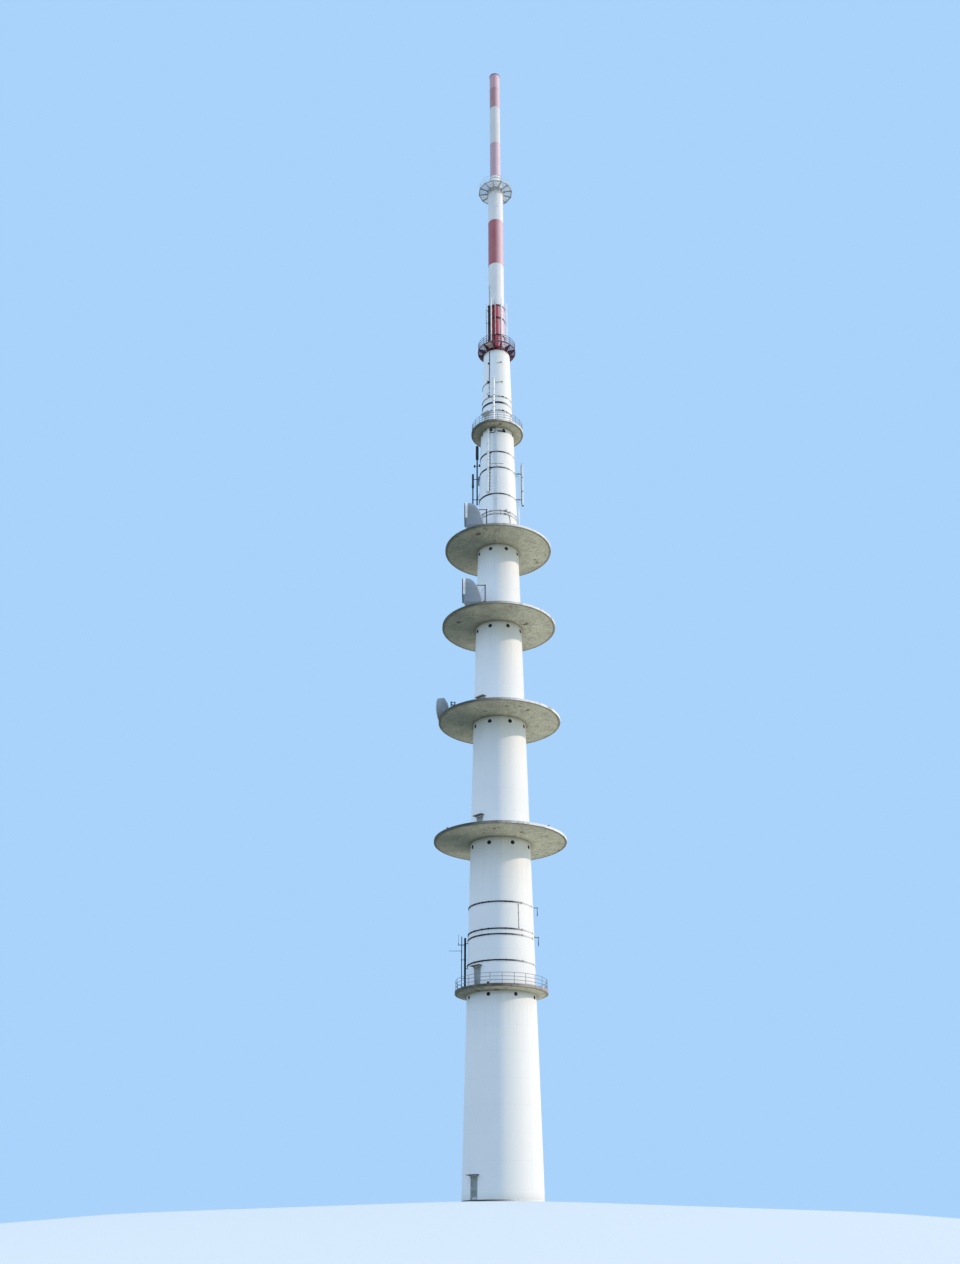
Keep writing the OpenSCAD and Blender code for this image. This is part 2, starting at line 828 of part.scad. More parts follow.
// A post on the floor with an arm to the hub of its dish
module dish_post(floor_z, h, side, out) {
    back_y = -(out - dish_hub_l);
    translate([side, back_y + dish_arm_l + post_d / 2, floor_z])
        cylinder(d = post_d, h = h + post_over, $fn = 24);
    translate([side - dish_hub_r / 2, back_y, floor_z + h - dish_hub_r / 2])
        cube([dish_hub_r, dish_arm_l + post_d / 2, dish_hub_r]);
}

// A post behind a shell with two arms to its back
module shell_post(floor_z, side, out) {
    post_y = -out + dish_arm_l + post_d / 2;
    translate([side, post_y, floor_z]) cylinder(d = post_d, h = shell_post_h, $fn = 24);
    for (h = [shell_wall_h * 0.4, shell_post_h - arm_t])
        translate([side - arm_t / 2, -out - back_at(h) + fit_gap, floor_z + h])
            cube([arm_t, back_at(h) - fit_gap + post_y + out, arm_t]);
}

module dish_posts() {
    color(dark) {
        bearing(small_dish_bearing)
            dish_post(platform_2_z, small_dish_h, small_dish_side, small_dish_out);
        bearing(shell_bearing) {
            shell_post(platform_3_z, shell_side(platform_3_z, shell_3_out), shell_3_out);
            shell_post(platform_4_z, shell_side(platform_4_z, shell_4_out), shell_4_out);
        }
    }
}

// An arm that runs from the wall's face out to a radius
module wall_arm(z, r, t) {
    foot_r = wall_r(z) + fit_gap;
    translate([-t / 2, -r, z - t / 2]) cube([t, r - foot_r, t]);
}

module pipe(r, z0, z1, d) {
    translate([0, -r, z0]) cylinder(d = d, h = z1 - z0, $fn = 24);
}

module left_side_antennas() {
    foot_z = platform_4_z + left_pipe_rise;
    head_z = foot_z + left_pipe_l;
    pipe_r = wall_r(foot_z) + left_pipe_off;
    rod_r = pipe_r + left_rod_off;
    arm_z = platform_4_z + arm_low_rise;
    color(dark) bearing(left_bearing) {
        pipe(pipe_r, foot_z, head_z, pipe_d);
        pipe(pipe_r, head_z, head_z + left_thick_l, thick_d);
        pipe(rod_r, foot_z, foot_z + left_rod_l, rod_antenna_d);
        for (z = [arm_z, arm_z + arm_step]) wall_arm(z, rod_r, arm_t);
    }
}

module right_side_antennas() {
    pipe_r = wall_r(platform_4_z) + right_pipe_off;
    panel_r = pipe_r + panel_off;
    panel_z = platform_4_z + panel_rise;
    arm_z = platform_4_z + arm_low_rise;
    color(white) bearing(right_bearing) {
        pipe(pipe_r, platform_4_z, platform_4_z + right_pipe_l, pipe_d);
        for (i = [0:2])
            translate([-panel_w / 2, -panel_r - panel_depth / 2, panel_z + i * panel_h])
                cube([panel_w, panel_depth, panel_h]);
        for (z = [arm_z, arm_z + arm_step + pipe_d]) wall_arm(z, panel_r, arm_t);
    }
}

// A short rod that hangs from an arm on the wall
module stub(z) {
    stub_r = wall_r(z) + stub_out;
    wall_arm(z, stub_r, arm_t);
    pipe(stub_r, z - stub_l, z + arm_t, rod_antenna_d);
}

// The pipes, rods and the small beam antenna on the lower gallery, and the stubs on the right
module low_antennas() {
    floor_z = lower_gallery_z;
    pipe_r = wall_r(floor_z) + low_pipe_off;
    rod_r = pipe_r + low_rod_off;
    whip_r = rod_r + whip_off;
    bar_t = rod_antenna_d / 2;
    color(dark) {
        bearing(left_bearing) {
            pipe(pipe_r, floor_z, floor_z + low_pipe_h, low_pipe_d);
            pipe(rod_r, floor_z, floor_z + low_rod_h, rod_antenna_d);
            pipe(whip_r, floor_z + whip_rise, floor_z + whip_rise + whip_l, rod_antenna_d);
            translate([-arm_t / 2, -whip_r, floor_z + whip_rise])
                cube([arm_t, whip_r - pipe_r, arm_t]);
            translate([-bar_t / 2, -rod_r - beam_l, floor_z + beam_rise])
                cube([bar_t, beam_l, bar_t]);
            for (i = [1:beam_elements])
                translate([-beam_l / 4, -rod_r - beam_l * i / beam_elements, floor_z + beam_rise])
                    cube([beam_l / 2, bar_t, bar_t]);
        }
        bearing(right_bearing) {
            stub(floor_z + low_band_4 + band_h + stub_1_over);
            stub(floor_z + low_band_2 + band_h + stub_2_over);
        }
    }
}

// A flat band that lies on the sloping wall
module band(z, h) {
    rotate_extrude($fn = 180)
        polygon([[wall_r(z), z], [wall_r(z) + band_t, z], [wall_r(z) + band_t, z + h],
                 [wall_r(z + h), z + h]]);
}

module shaft_bands() {
    low_band_3 = low_band_2 + low_band_step;
    mid_band_2 = mid_band_1 + mid_band_step;
    high_band_1 = door_h + canopy_rise + canopy_t + high_band_over;
    color(dark) {
        for (rise = [low_band_1, low_band_2, low_band_3, low_band_4])
            band(lower_gallery_z + rise, band_h);
        for (rise = [mid_band_1, mid_band_2, mid_band_3, mid_band_4, mid_band_5])
            band(platform_4_z + rise, band_h);
        for (rise = [high_band_1, high_band_2 + thick_band_h + high_band_gap])
            band(upper_gallery_z + rise, band_h);
        band(upper_gallery_z + high_band_2, thick_band_h);
    }
}

// A duct that follows the sloping wall at a distance
module wall_duct(b, z0, z1, deg, off, depth) {
    in_0 = wall_r(z0) + off;
    in_1 = wall_r(z1) + off;
    bearing(b - 90 - deg / 2) rotate_extrude(angle = deg, $fn = 180)
        polygon([[in_0, z0], [in_0 + depth, z0], [in_1 + depth, z1], [in_1, z1]]);
}

// The white ducts lie on the bands, the dark line lies on the wall above them
module cable_ducts() {
    over_bands = band_t + fit_gap;
    duct_z = platform_4_z + duct_rise;
    last_band = high_band_2 + thick_band_h + high_band_gap;
    line_z = upper_gallery_z + last_band + band_h + line_over;
    color(white) {
        wall_duct(duct_bearing, duct_z, upper_gallery_z - root_t, duct_deg, over_bands, duct_depth);
        wall_duct(upper_duct_bearing, upper_gallery_z, upper_gallery_z + upper_duct_l, duct_deg,
                  over_bands, duct_depth);
    }
    color(dark) wall_duct(line_bearing, line_z, shaft_top_z, line_deg, 0, line_depth);
}

// An upright that leans with the wall, from a floor to the slab above
module upright(x, z0, z1) {
    in_0 = -wall_r(z0) - ladder_off;
    in_1 = -wall_r(z1) - ladder_off;
    translate([x - ladder_t / 2, 0, 0]) rotate([90, 0, 90]) linear_extrude(ladder_t)
        polygon([[in_0 - ladder_t, z0], [in_0, z0], [in_1, z1], [in_1 - ladder_t, z1]]);
}

module ladder() {
    z0 = platform_4_z;
    z1 = upper_gallery_z - root_t;
    x = (ladder_w - ladder_t) / 2;
    rung_t = ladder_t * 0.7;
    color(dark) bearing(ladder_bearing) {
        upright(-x, z0, z1);
        upright(x, z0, z1);
        for (z = [z0 + rung_step:rung_step:z1 - rung_step])
            translate([-x, -wall_r(z) - ladder_off - ladder_t * 0.85, z])
                cube([2 * x, rung_t, rung_t]);
    }
}

// The feeder duct and the riser beside the core, and the pipe that climbs the wide cylinder
module feeder_lines() {
    duct_h = radome_z - steel_gallery_z;
    pipe_r = radome_r + rod_antenna_d / 2 + fit_gap;
    color(dark) {
        bearing(feeder_bearing)
            translate([-feeder_w / 2, -flange_r - fit_gap - feeder_depth, steel_gallery_z])
                cube([feeder_w, feeder_depth, duct_h]);
        bearing(feeder_bearing)
            pipe(pipe_r, radome_z, radome_z + feeder_pipe_l, rod_antenna_d);
        bearing(riser_bearing)
            pipe(flange_r + fit_gap + riser_d / 2, flange_1_z, cage_top_z, riser_d);
    }
}

module rim_lamps() {
    rim_r = shaft_r(platform_1_z) + platform_overhang;
    globe_r = shaft_r(lower_gallery_z) + gallery_overhang - railing_inset - rail_t;
    color(dark) {
        for (b = [rim_lamp_left, rim_lamp_right])
            bearing(b)
                translate([-rim_lamp / 2, -rim_r + rim_lamp_inset, platform_1_z]) cube(rim_lamp);
        bearing(globe_bearing)
            translate([0, -globe_r + globe_d / 2 + fit_gap, lower_gallery_z + globe_d / 2])
                sphere(d = globe_d, $fn = 48);
    }
}

ground_slab();
shaft_foot();
shaft_first();
shaft_second();
shaft_third();
shaft_fourth();
shaft_fifth();
shaft_top();
lower_gallery();
platform_1();
platform_2();
platform_3();
platform_4();
upper_gallery();
doors();
door_canopies();
lower_gallery_railing();
upper_gallery_railing();
steel_gallery_floor();
steel_gallery_brackets();
steel_gallery_railing();
mast_core();
cage_tubes();
radome_lower_white();
radome_red();
radome_upper_white();
ring_gallery_frame();
ring_gallery_grating();
ring_gallery_railing();
mast_cone();
slim_lower_red();
slim_white();
slim_upper_red();
mast_cap();
dish_platform_2();
shell_platform_3();
shell_platform_4();
dish_posts();
left_side_antennas();
right_side_antennas();
low_antennas();
shaft_bands();
cable_ducts();
feeder_lines();
ladder();
rim_lamps();
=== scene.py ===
"""Looks of the telecommunications tower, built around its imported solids.

Drawn in millimetres with +Z up, the origin on the underside of the ground slab at the axis and
the doors facing -Y. A piece is scaled to metres when it is shown; finishes and light use metres.
A bearing is an angle in degrees from the door side, counter-clockwise seen from above.
A part is drawn on the door side with its foot at the origin and is then set in its place.
"""

import math
from types import SimpleNamespace

import bmesh
import bpy
from mathutils import Matrix, Vector


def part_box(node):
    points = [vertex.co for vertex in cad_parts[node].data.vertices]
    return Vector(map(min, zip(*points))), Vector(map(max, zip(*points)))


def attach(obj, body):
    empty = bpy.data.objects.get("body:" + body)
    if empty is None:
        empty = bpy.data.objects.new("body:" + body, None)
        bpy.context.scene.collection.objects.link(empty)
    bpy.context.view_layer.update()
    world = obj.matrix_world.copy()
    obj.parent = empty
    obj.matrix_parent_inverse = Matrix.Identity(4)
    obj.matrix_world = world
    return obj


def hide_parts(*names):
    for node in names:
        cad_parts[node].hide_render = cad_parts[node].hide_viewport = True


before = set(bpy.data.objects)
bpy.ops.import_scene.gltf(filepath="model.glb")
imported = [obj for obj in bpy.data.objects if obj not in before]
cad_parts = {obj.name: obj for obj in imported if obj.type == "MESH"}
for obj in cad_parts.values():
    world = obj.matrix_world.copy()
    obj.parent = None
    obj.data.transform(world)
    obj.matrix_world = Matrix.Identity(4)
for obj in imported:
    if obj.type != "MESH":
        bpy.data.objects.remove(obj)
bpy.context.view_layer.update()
MM = 0.001
ON_AXIS = 1e-6

# Places of the two values on a node that mixes vectors or colours
VECTOR_A, VECTOR_B, COLOUR_A, COLOUR_B = 4, 5, 6, 7

# Shaft
SHAFT_BASE_R, SHAFT_TAPER, UPPER_STEP = 402, 0.0215, 9
DOOR_W, DOOR_H, DOOR_RECESS = 95, 205, 8
CANOPY_W, CANOPY_OUT, CANOPY_T, CANOPY_RISE = 130, 45, 6, 8
RIM_T, ROOT_T, RAIL_H = 26, 46, 110
LEAN = -math.degrees(math.atan(SHAFT_TAPER))
BANDS = (2255, 2520, 2577, 2859, 7670, 7714, 7965, 8361, 8599, 9259, 9483)

# Steel gallery and mast
STEEL_R, EDGE_H, CHANNEL_H, BEAM_TURN = 251, 26, 18, 1
CORE_R, FLANGE_R, FLANGE_T = 90, 116, 8
FLANGE_Z = (10356, 10562, 10853, 11072)
CAGE_R, CAGE_D, CAGE_TURN, CAGE_TOP, TRAY_BEARING = 138, 16, 14, 11193, -12
RADOME_R, RADOME_FOOT, SLIM_R, SLIM_TOP = 106, 11100, 75, 15660
RING_R, RING_TURN, RING_FLOOR, RING_FRAME_Z, HUB_R = 242, 5, 13271, 13256, 118
CONE_R, CONE_FOOT, CONE_TOP = 112, 13276, 13500

# Antennas that stand on the platforms
SHELL_W, SHELL_WALL, SHELL_DEPTH, COVER_T = 220, 332, 243, 13
MOUTH_Z, SETBACK, SHELL_FOOT_W, SHELL_BEARING = 186, 37, 130, -45
SHELL_HALF, SHELL_HIGH, SHELL_MOUTH = SHELL_W / 2, SHELL_WALL + SHELL_W / 2, SHELL_DEPTH - COVER_T
SHELL_OUT = {"platform_3": 188, "platform_4": 168}
SHELL_BACK = [(0.30, 0.0), (0.04, 0.02), (0.0, 0.22), (0.06, 0.35), (0.12, 0.445), (0.195, 0.56),
              (0.265, 0.67), (0.37, 0.76), (0.50, 0.86), (0.66, 0.94), (0.82, 0.985), (1.0, 1.0)]
DISH_R, DISH_SHROUD, DISH_BACK, DISH_FRONT = 138, 65, 40, 12
DISH_SIDE, DISH_OUT, DISH_BEARING, DISH_RISE = 165, 563, -60, 146.5
LEFT, RIGHT = -45, 135

# Camera, as the photograph was taken, and sun
CAMERA_BEARING, CAMERA_DISTANCE, CAMERA_HEIGHT, CAMERA_SIDE = 45, 13160, -513, 222
CAMERA_TILT, LENS_MM = 26.93, 35.54
SUN_BEARING, SUN_HEIGHT = 129, 28


def turned(bearing):
    """Turns what is drawn on the door side to a bearing."""
    return Matrix.Rotation(math.radians(bearing), 4, "Z")


def tilted(degrees, axis="X"):
    return Matrix.Rotation(math.radians(degrees), 4, axis)


def moved(x=0, y=0, z=0):
    return Matrix.Translation((x, y, z))


FACE_OUT, FACE_DOWN, LYING = tilted(90), tilted(180), tilted(90, "Y")


def box_of(node):
    """The low and the high corner of a CAD node."""
    return [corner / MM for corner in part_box(node)]


SLABS = ("lower_gallery", "platform_1", "platform_2", "platform_3", "platform_4", "upper_gallery")
FLOORS = {"ground": box_of("ground_slab")[1].z} | {slab: box_of(slab)[1].z for slab in SLABS}
CONCRETE_TOP, STEEL_FLOOR = box_of("shaft_top")[1].z, box_of("steel_gallery_floor")[1].z


def axis(z):
    """The base line of what is measured from the tower's axis."""
    return 0


def wall_r(z):
    """Outer radius of the concrete wall at a height."""
    return SHAFT_BASE_R - SHAFT_TAPER * z - (UPPER_STEP if z >= FLOORS["upper_gallery"] - MM else 0)


def out_at(bearing, radius, z=0):
    """A point at a bearing, a distance from the axis and a height."""
    a = math.radians(bearing)
    return Vector((radius * math.sin(a), -radius * math.cos(a), z))


def off_wall(bearing, z, off=0):
    """A point at a distance from the wall."""
    return out_at(bearing, wall_r(z) + off, z)


def on_wall(bearing, z):
    """The place of a part whose back lies on the leaning wall."""
    return turned(bearing) @ moved(0, -wall_r(z), z) @ tilted(LEAN)


def circle(count, radius, first=0):
    """Places around an upright line, counted from +X."""
    turn = [math.radians(first + 360 * k / count) for k in range(count)]
    return [(radius * math.cos(a), radius * math.sin(a)) for a in turn]


def ends_of(side):
    """The low and high end of a side, which is a pair or half a width."""
    return sorted(side) if isinstance(side, tuple) else (-side, side)


def rounded(x0, y0, x1, y1, radii, steps=4):
    """A rectangle, counter-clockwise from its first corner, with one radius or one for each corner."""
    outline = []
    radii = (radii,) * 4 if isinstance(radii, (int, float)) else radii
    for (x, y, start), r in zip(((x0, y0, 180), (x1, y0, 270), (x1, y1, 0), (x0, y1, 90)), radii):
        cx, cy = x + (r if x == x0 else -r), y + (r if y == y0 else -r)
        turn = [math.radians(start + 90 * k / steps) for k in range(steps + 1)]
        outline += [(cx + r * math.cos(a), cy + r * math.sin(a)) for a in turn]
    return outline


class Shape:
    """Closed bodies that become one mesh; a side of a box or pad is a (low, high) pair or half a width."""

    def __init__(self):
        self.points, self.faces = [], []

    def add(self, points, faces, place=None):
        first = len(self.points)
        self.points += [place @ Vector(p) if place else Vector(p) for p in points]
        self.faces += [[first + i for i in face] for face in faces]
        return self

    def box(self, x, y, z, place=None):
        points = [(a, b, c) for c in ends_of(z) for b in ends_of(y) for a in ends_of(x)]
        faces = [(0, 2, 3, 1), (4, 5, 7, 6), (0, 1, 5, 4), (2, 6, 7, 3), (0, 4, 6, 2), (1, 3, 7, 5)]
        return self.add(points, faces, place)

    def lathe(self, profile, steps, place=None, about=(0, 0)):
        """Turns (radius, height) points about Z; radius 0 is a pole, two ends off the axis are joined."""
        points, rings, faces = [], [], []
        for r, z in ((r + about[0], z + about[1]) for r, z in profile):
            here = circle(steps, r) if r > ON_AXIS else [(0, 0)]
            rings.append([len(points) + k % len(here) for k in range(steps)])
            points += [(x, y, z) for x, y in here]
        closed = len(set(rings[0])) > 1 and len(set(rings[-1])) > 1
        for low, high in zip(rings, rings[1:] + rings[:1] * closed):
            for k in range(steps):
                m = (k + 1) % steps
                face = tuple(dict.fromkeys((low[k], low[m], high[m], high[k])))
                if len(face) > 2:
                    faces.append(face)
        return self.add(points, faces, place)

    def ring(self, r, z, steps, place=None, about=(0, 0)):
        """A ring with a square section."""
        return self.lathe([(r[1], z[0]), (r[1], z[1]), (r[0], z[1]), (r[0], z[0])], steps, place, about)

    def hoop(self, radius, z, bar, steps, sides, place=None):
        """A round bar bent to a full ring."""
        return self.lathe(circle(sides, bar), steps, place, (radius, z))

    def rod(self, radius, low, high, place=None, sides=16):
        """An upright round bar with small bevels."""
        edge = min(0.6, radius * 0.4, (high - low) * 0.3)
        return self.lathe([(0, low), (radius - edge, low), (radius, low + edge), (radius, high - edge),
                           (radius - edge, high), (0, high)], sides, place)

    def loft(self, rings, place=None):
        """Joins outlines that have the same number of points."""
        count, last = len(rings[0]), (len(rings) - 1) * len(rings[0])
        faces = [(low + k, low + (k + 1) % count, low + count + (k + 1) % count, low + count + k)
                 for low in range(0, last, count) for k in range(count)]
        faces += [range(count - 1, -1, -1), range(last, last + count)]
        return self.add([p for ring in rings for p in ring], faces, place)

    def prism(self, outline, low, high, place=None):
        """A flat outline raised from low to high."""
        return self.loft([[(x, y, z) for x, y in outline] for z in (low, high)], place)

    def pad(self, x, y, z, corner, place=None):
        """A box with round upright corners."""
        (x0, x1), (y0, y1) = ends_of(x), ends_of(y)
        return self.prism(rounded(x0, y0, x1, y1, corner), *ends_of(z), place)

    def plate(self, x, outline, place=None):
        """An upright plate: the outline gives (y, z) points, x its thickness."""
        return self.loft([[(a, y, z) for y, z in outline] for a in ends_of(x)], place)

    def tube(self, path, radius, sides=8, place=None):
        """A round bar along a path of points, closed at both ends."""
        path = [Vector(p) for p in path]
        rings, side = [], None
        for i, at in enumerate(path):
            ahead = (path[min(i + 1, len(path) - 1)] - path[max(i - 1, 0)]).normalized()
            side = (side - ahead * side.dot(ahead)).normalized() if side else ahead.orthogonal().normalized()
            up = ahead.cross(side)
            rings.append([at + side * x + up * y for x, y in circle(sides, radius)])
        return self.loft(rings, place)

    def sector(self, bearing, width, steps, z, half, inner, outer, base=wall_r):
        """A strip around the tower: width in degrees, z and half its height, depths from its base line."""
        turn = [bearing + width * (k / steps - 0.5) for k in range(steps + 1)]
        return self.loft([[out_at(a, base(h) + outer, h) for a in turn]
                          + [out_at(a, base(h) + inner, h) for a in reversed(turn)]
                          for h in (z - half, z + half)])

    def bolt(self, place, radius, height):
        """A hexagon nut on its washer, standing up."""
        washer, body = height * 0.25, height * 0.85
        self.lathe([(0, 0), (radius * 1.25, 0), (radius * 1.25, washer), (0, washer)], 10, place)
        return self.lathe([(0, washer), (radius, washer), (radius, body), (radius * 0.8, height),
                           (0, height)],
                          6, place)

    def nuts(self, x, y, z, radius, height, place=None):
        """Nuts that face out, one at each x and z."""
        for a in x:
            for c in z:
                self.bolt((place or moved()) @ moved(a, y, c) @ FACE_OUT, radius, height)
        return self

    def mesh(self):
        made = bpy.data.meshes.new("part")
        made.from_pydata([tuple(p) for p in self.points], [], self.faces)
        work = bmesh.new()
        work.from_mesh(made)
        bmesh.ops.recalc_face_normals(work, faces=work.faces)
        work.to_mesh(made)
        work.free()
        return made


def as_mesh(part):
    """One mesh from a shape, a mesh or a list of them."""
    if isinstance(part, Shape):
        return part.mesh()
    if not isinstance(part, (list, tuple)):
        return part
    work = bmesh.new()
    for item in part:
        work.from_mesh(as_mesh(item))
    made = bpy.data.meshes.new("joined")
    work.to_mesh(made)
    work.free()
    return made


# Node trees


class Wire:
    """An output of a node; a sign between two of them adds a math node."""

    def __init__(self, tree, socket):
        self.tree, self.socket = tree, socket

    def __add__(self, other):
        return self.tree.math("ADD", self, other)

    def __sub__(self, other):
        return self.tree.math("SUBTRACT", self, other)

    def __mul__(self, other):
        return self.tree.math("MULTIPLY", self, other)

    def __truediv__(self, other):
        return self.tree.math("DIVIDE", self, other)

    def __rtruediv__(self, other):
        return self.tree.math("DIVIDE", other, self)


def titled(key):
    """The name that an input shows."""
    return key.replace("_", " ").title()


class Tree:
    """Adds nodes to a tree; inputs are a list from the first one on, or a dict by name or number."""

    def __init__(self, tree):
        self.tree = tree

    def node(self, kind, inputs=(), **settings):
        made = self.tree.nodes.new(kind)
        for name, value in settings.items():
            setattr(made, name, value)
        for key, value in inputs.items() if isinstance(inputs, dict) else enumerate(inputs):
            if isinstance(value, Wire):
                self.tree.links.new(value.socket, made.inputs[key])
            else:
                made.inputs[key].default_value = value
        return made

    def shade(self, kind, inputs=(), out=0, **settings):
        return Wire(self, self.node("ShaderNode" + kind, inputs, **settings).outputs[out])

    def grow(self, kind, inputs=(), **settings):
        return Wire(self, self.node("GeometryNode" + kind, inputs, **settings).outputs[0])

    def math(self, operation, a, b=0.0, clamp=False):
        return self.shade("Math", [a, b], operation=operation, use_clamp=clamp)

    def vector(self, operation, a, b, out=0):
        return self.shade("VectorMath", {0: a, "Scale" if operation == "SCALE" else 1: b}, out,
                          operation=operation)

    def xyz(self, x=0.0, y=0.0, z=0.0):
        return self.shade("CombineXYZ", [x, y, z])

    # What geometry trees share

    def index(self):
        return self.grow("InputIndex")

    def radians(self, degrees):
        return self.math("RADIANS", degrees)

    def join(self, *parts):
        made = self.node("GeometryNodeJoinGeometry")
        for part in parts:
            self.tree.links.new(part.socket, made.inputs[0])
        return Wire(self, made.outputs[0])

    def lifted(self, part, z):
        return self.grow("Transform", {"Geometry": part, "Translation": self.xyz(z=z)})

    def copies(self, points, part, turn=0.0, lean=0.0, **more):
        """Copies of a part on points, turned in radians."""
        facing = Wire(self, self.node("FunctionNodeEulerToRotation", [self.xyz(lean, 0.0, turn)]).outputs[0])
        wires = {"Points": points, "Instance": part, "Rotation": facing}
        return self.grow("InstanceOnPoints", wires | {titled(key): value for key, value in more.items()})

    def ring_points(self, count, step, first, radius, height):
        """Points around the axis, and the turn that faces each one outwards."""
        turn = self.radians(self.index() * step + first)
        at = self.xyz(self.math("SINE", turn) * radius, self.math("COSINE", turn) * radius * -1.0, height)
        return self.grow("Points", {"Count": count, "Position": at}), turn

    def end(self, made, finish):
        """Turns copies into plain faces and gives them their finish."""
        real = self.grow("RealizeInstances", [made])
        dressed = self.grow("SetMaterial", {"Geometry": real, "Material": finish})
        self.node("NodeGroupOutput", [dressed])
        return self.tree

    # What finishes share

    def spread(self, value, low, high, to_low=0.0, to_high=1.0):
        """Maps a value from one range to another, with its ends held."""
        return self.shade("MapRange", [value, low, high, to_low, to_high], clamp=True)

    def noise(self, vector, scale, detail=3.0, rough=0.55, distortion=0.0):
        return self.shade("TexNoise", {"Vector": vector, "Scale": scale, "Detail": detail, "Roughness": rough,
                                       "Distortion": distortion}, "Fac")

    def mix(self, share, a, b):
        wires = {0: share} | {key: (*colour, 1.0) if isinstance(colour, tuple) else colour
                              for key, colour in ((COLOUR_A, a), (COLOUR_B, b))}
        return self.shade("Mix", wires, 2, data_type="RGBA")

    def round_place(self):
        """Place, direction from the axis, distance from it and height, from the object's own coordinates."""
        at = self.shade("TexCoord", out="Object")
        parts = [self.shade("SeparateXYZ", [at], out) for out in range(3)]
        flat = self.xyz(*parts[:2])
        far = self.shade("VectorMath", [flat], "Value", operation="LENGTH")
        return at, self.shade("VectorMath", [flat], operation="NORMALIZE"), far, parts[2]

    def sunny_side(self, low, high):
        """0 to 1 around the axis, 1 on the side that faces the sun; it places painted sunlight and painted
        shade in colours.
        """
        toward = self.vector("DOT_PRODUCT", self.round_place()[1], out_at(SUN_BEARING, 1), "Value")
        return self.spread(toward, low, high)

    def effect(self, which, out=0, **values):
        """Places a shared effect."""
        return self.shade("Group", {titled(key): value for key, value in values.items()}, out,
                          node_tree=which)

    def seen_share(self):
        """1 where the camera, a gloss or a glass looks, 0 where light is gathered."""
        camera, gloss, glass = (self.shade("LightPath", out=f"Is {ray} Ray")
                                for ray in ("Camera", "Glossy", "Transmission"))
        return self.math("ADD", self.math("ADD", camera, gloss, clamp=True), glass, clamp=True)


def new_tree(name, family, made, **inputs):
    """A node group, and its inputs by name; a default tells the kind, and a kind alone has no default."""
    tree = bpy.data.node_groups.new(name, family)
    for where, sockets in (("INPUT", inputs), ("OUTPUT", made)):
        for key, default in sockets.items():
            kind = {int: "Int", float: "Float"}.get(type(default), default)
            socket = tree.interface.new_socket(titled(key), in_out=where, socket_type=f"NodeSocket{kind}")
            if kind != default:
                socket.default_value = default
    builder, source = Tree(tree), tree.nodes.new("NodeGroupInput")
    return builder, SimpleNamespace(**{key: Wire(builder, source.outputs[titled(key)]) for key in inputs})


def part_tree(name, **sizes):
    """A geometry tree with its part or path, its named sizes and its finish."""
    return new_tree(name, "GeometryNodeTree", {"made": "Geometry"}, part="Geometry", **sizes,
                    finish="Material")


def make_ring_of_parts():
    t, given = part_tree("ring_of_parts", count=12, step=30.0, first=0.0, radius=100.0, height=0.0, lean=0.0)
    points, turn = t.ring_points(given.count, given.step, given.first, given.radius, given.height)
    return t.end(t.copies(points, given.part, turn, t.radians(given.lean)), given.finish)


def make_row_of_parts():
    t, given = part_tree("row_of_parts", count=2, start="Vector", end="Vector", bearing=0.0, lean=0.0)
    share = t.index() / (given.count - 1.0)
    at = t.shade("Mix", {0: share, VECTOR_A: given.start, VECTOR_B: given.end}, 1, data_type="VECTOR")
    points = t.grow("Points", {"Count": given.count, "Position": at})
    return t.end(t.copies(points, given.part, t.radians(given.bearing), t.radians(given.lean)), given.finish)


def make_studs_on_path():
    """Small hexagon studs at even distances along a drawn line."""
    t, given = part_tree("studs_on_path", spacing=20.0, stud_radius=2.0, stud_height=2.0, bearing=0.0)
    path = t.grow("MeshToCurve", [given.part])
    path = t.grow("ResampleCurve", {"Curve": path, "Length": given.spacing}, mode="LENGTH")
    stud = t.grow("MeshCylinder", {"Vertices": 6, "Radius": given.stud_radius, "Depth": given.stud_height})
    return t.end(t.copies(path, stud, t.radians(given.bearing), math.radians(90)), given.finish)


def make_gallery_railing():
    """Round rails on posts with bolted feet; corners is the number of straight sides of a rail."""
    t, given = part_tree("gallery_railing", radius=400.0, foot=0.0, height=110.0, rails=3, posts=24,
                         corners=96, pipe=5.0, first=0.0)
    half = given.pipe * 0.5
    level = (t.index() + 1.0) / given.rails * given.height + given.foot - half
    levels = t.grow("Points", {"Count": given.rails, "Position": t.xyz(z=level)})
    loop = t.grow("CurvePrimitiveCircle", {"Resolution": given.corners, "Radius": given.radius})
    loops = t.grow("RealizeInstances", [t.copies(levels, loop, t.radians(given.first))])
    round_bar = t.grow("CurvePrimitiveCircle", {"Resolution": 8, "Radius": half})
    rails = t.grow("CurveToMesh", {"Curve": loops, "Profile Curve": round_bar})
    points, turn = t.ring_points(given.posts, 360.0 / given.posts, given.first, given.radius, given.foot)
    tall, foot_w = given.height - half, given.pipe * 2.6
    post = t.grow("MeshCylinder", {"Vertices": 10, "Radius": half, "Depth": tall})
    foot = t.grow("MeshCube", {"Size": t.xyz(foot_w, foot_w, 1.2)})
    corners = t.grow("MeshGrid", {"Size X": foot_w * 0.72, "Size Y": foot_w * 0.72, "Vertices X": 2,
                                  "Vertices Y": 2})
    nut = t.grow("MeshCylinder", {"Vertices": 6, "Radius": half * 0.4, "Depth": 2.4})
    nuts = t.grow("InstanceOnPoints", {"Points": corners, "Instance": t.lifted(nut, 1.2)})
    posts = t.copies(points, t.join(nuts, t.lifted(foot, 0.6), t.lifted(post, tall * 0.5)), turn)
    return t.end(t.join(posts, rails), given.finish)


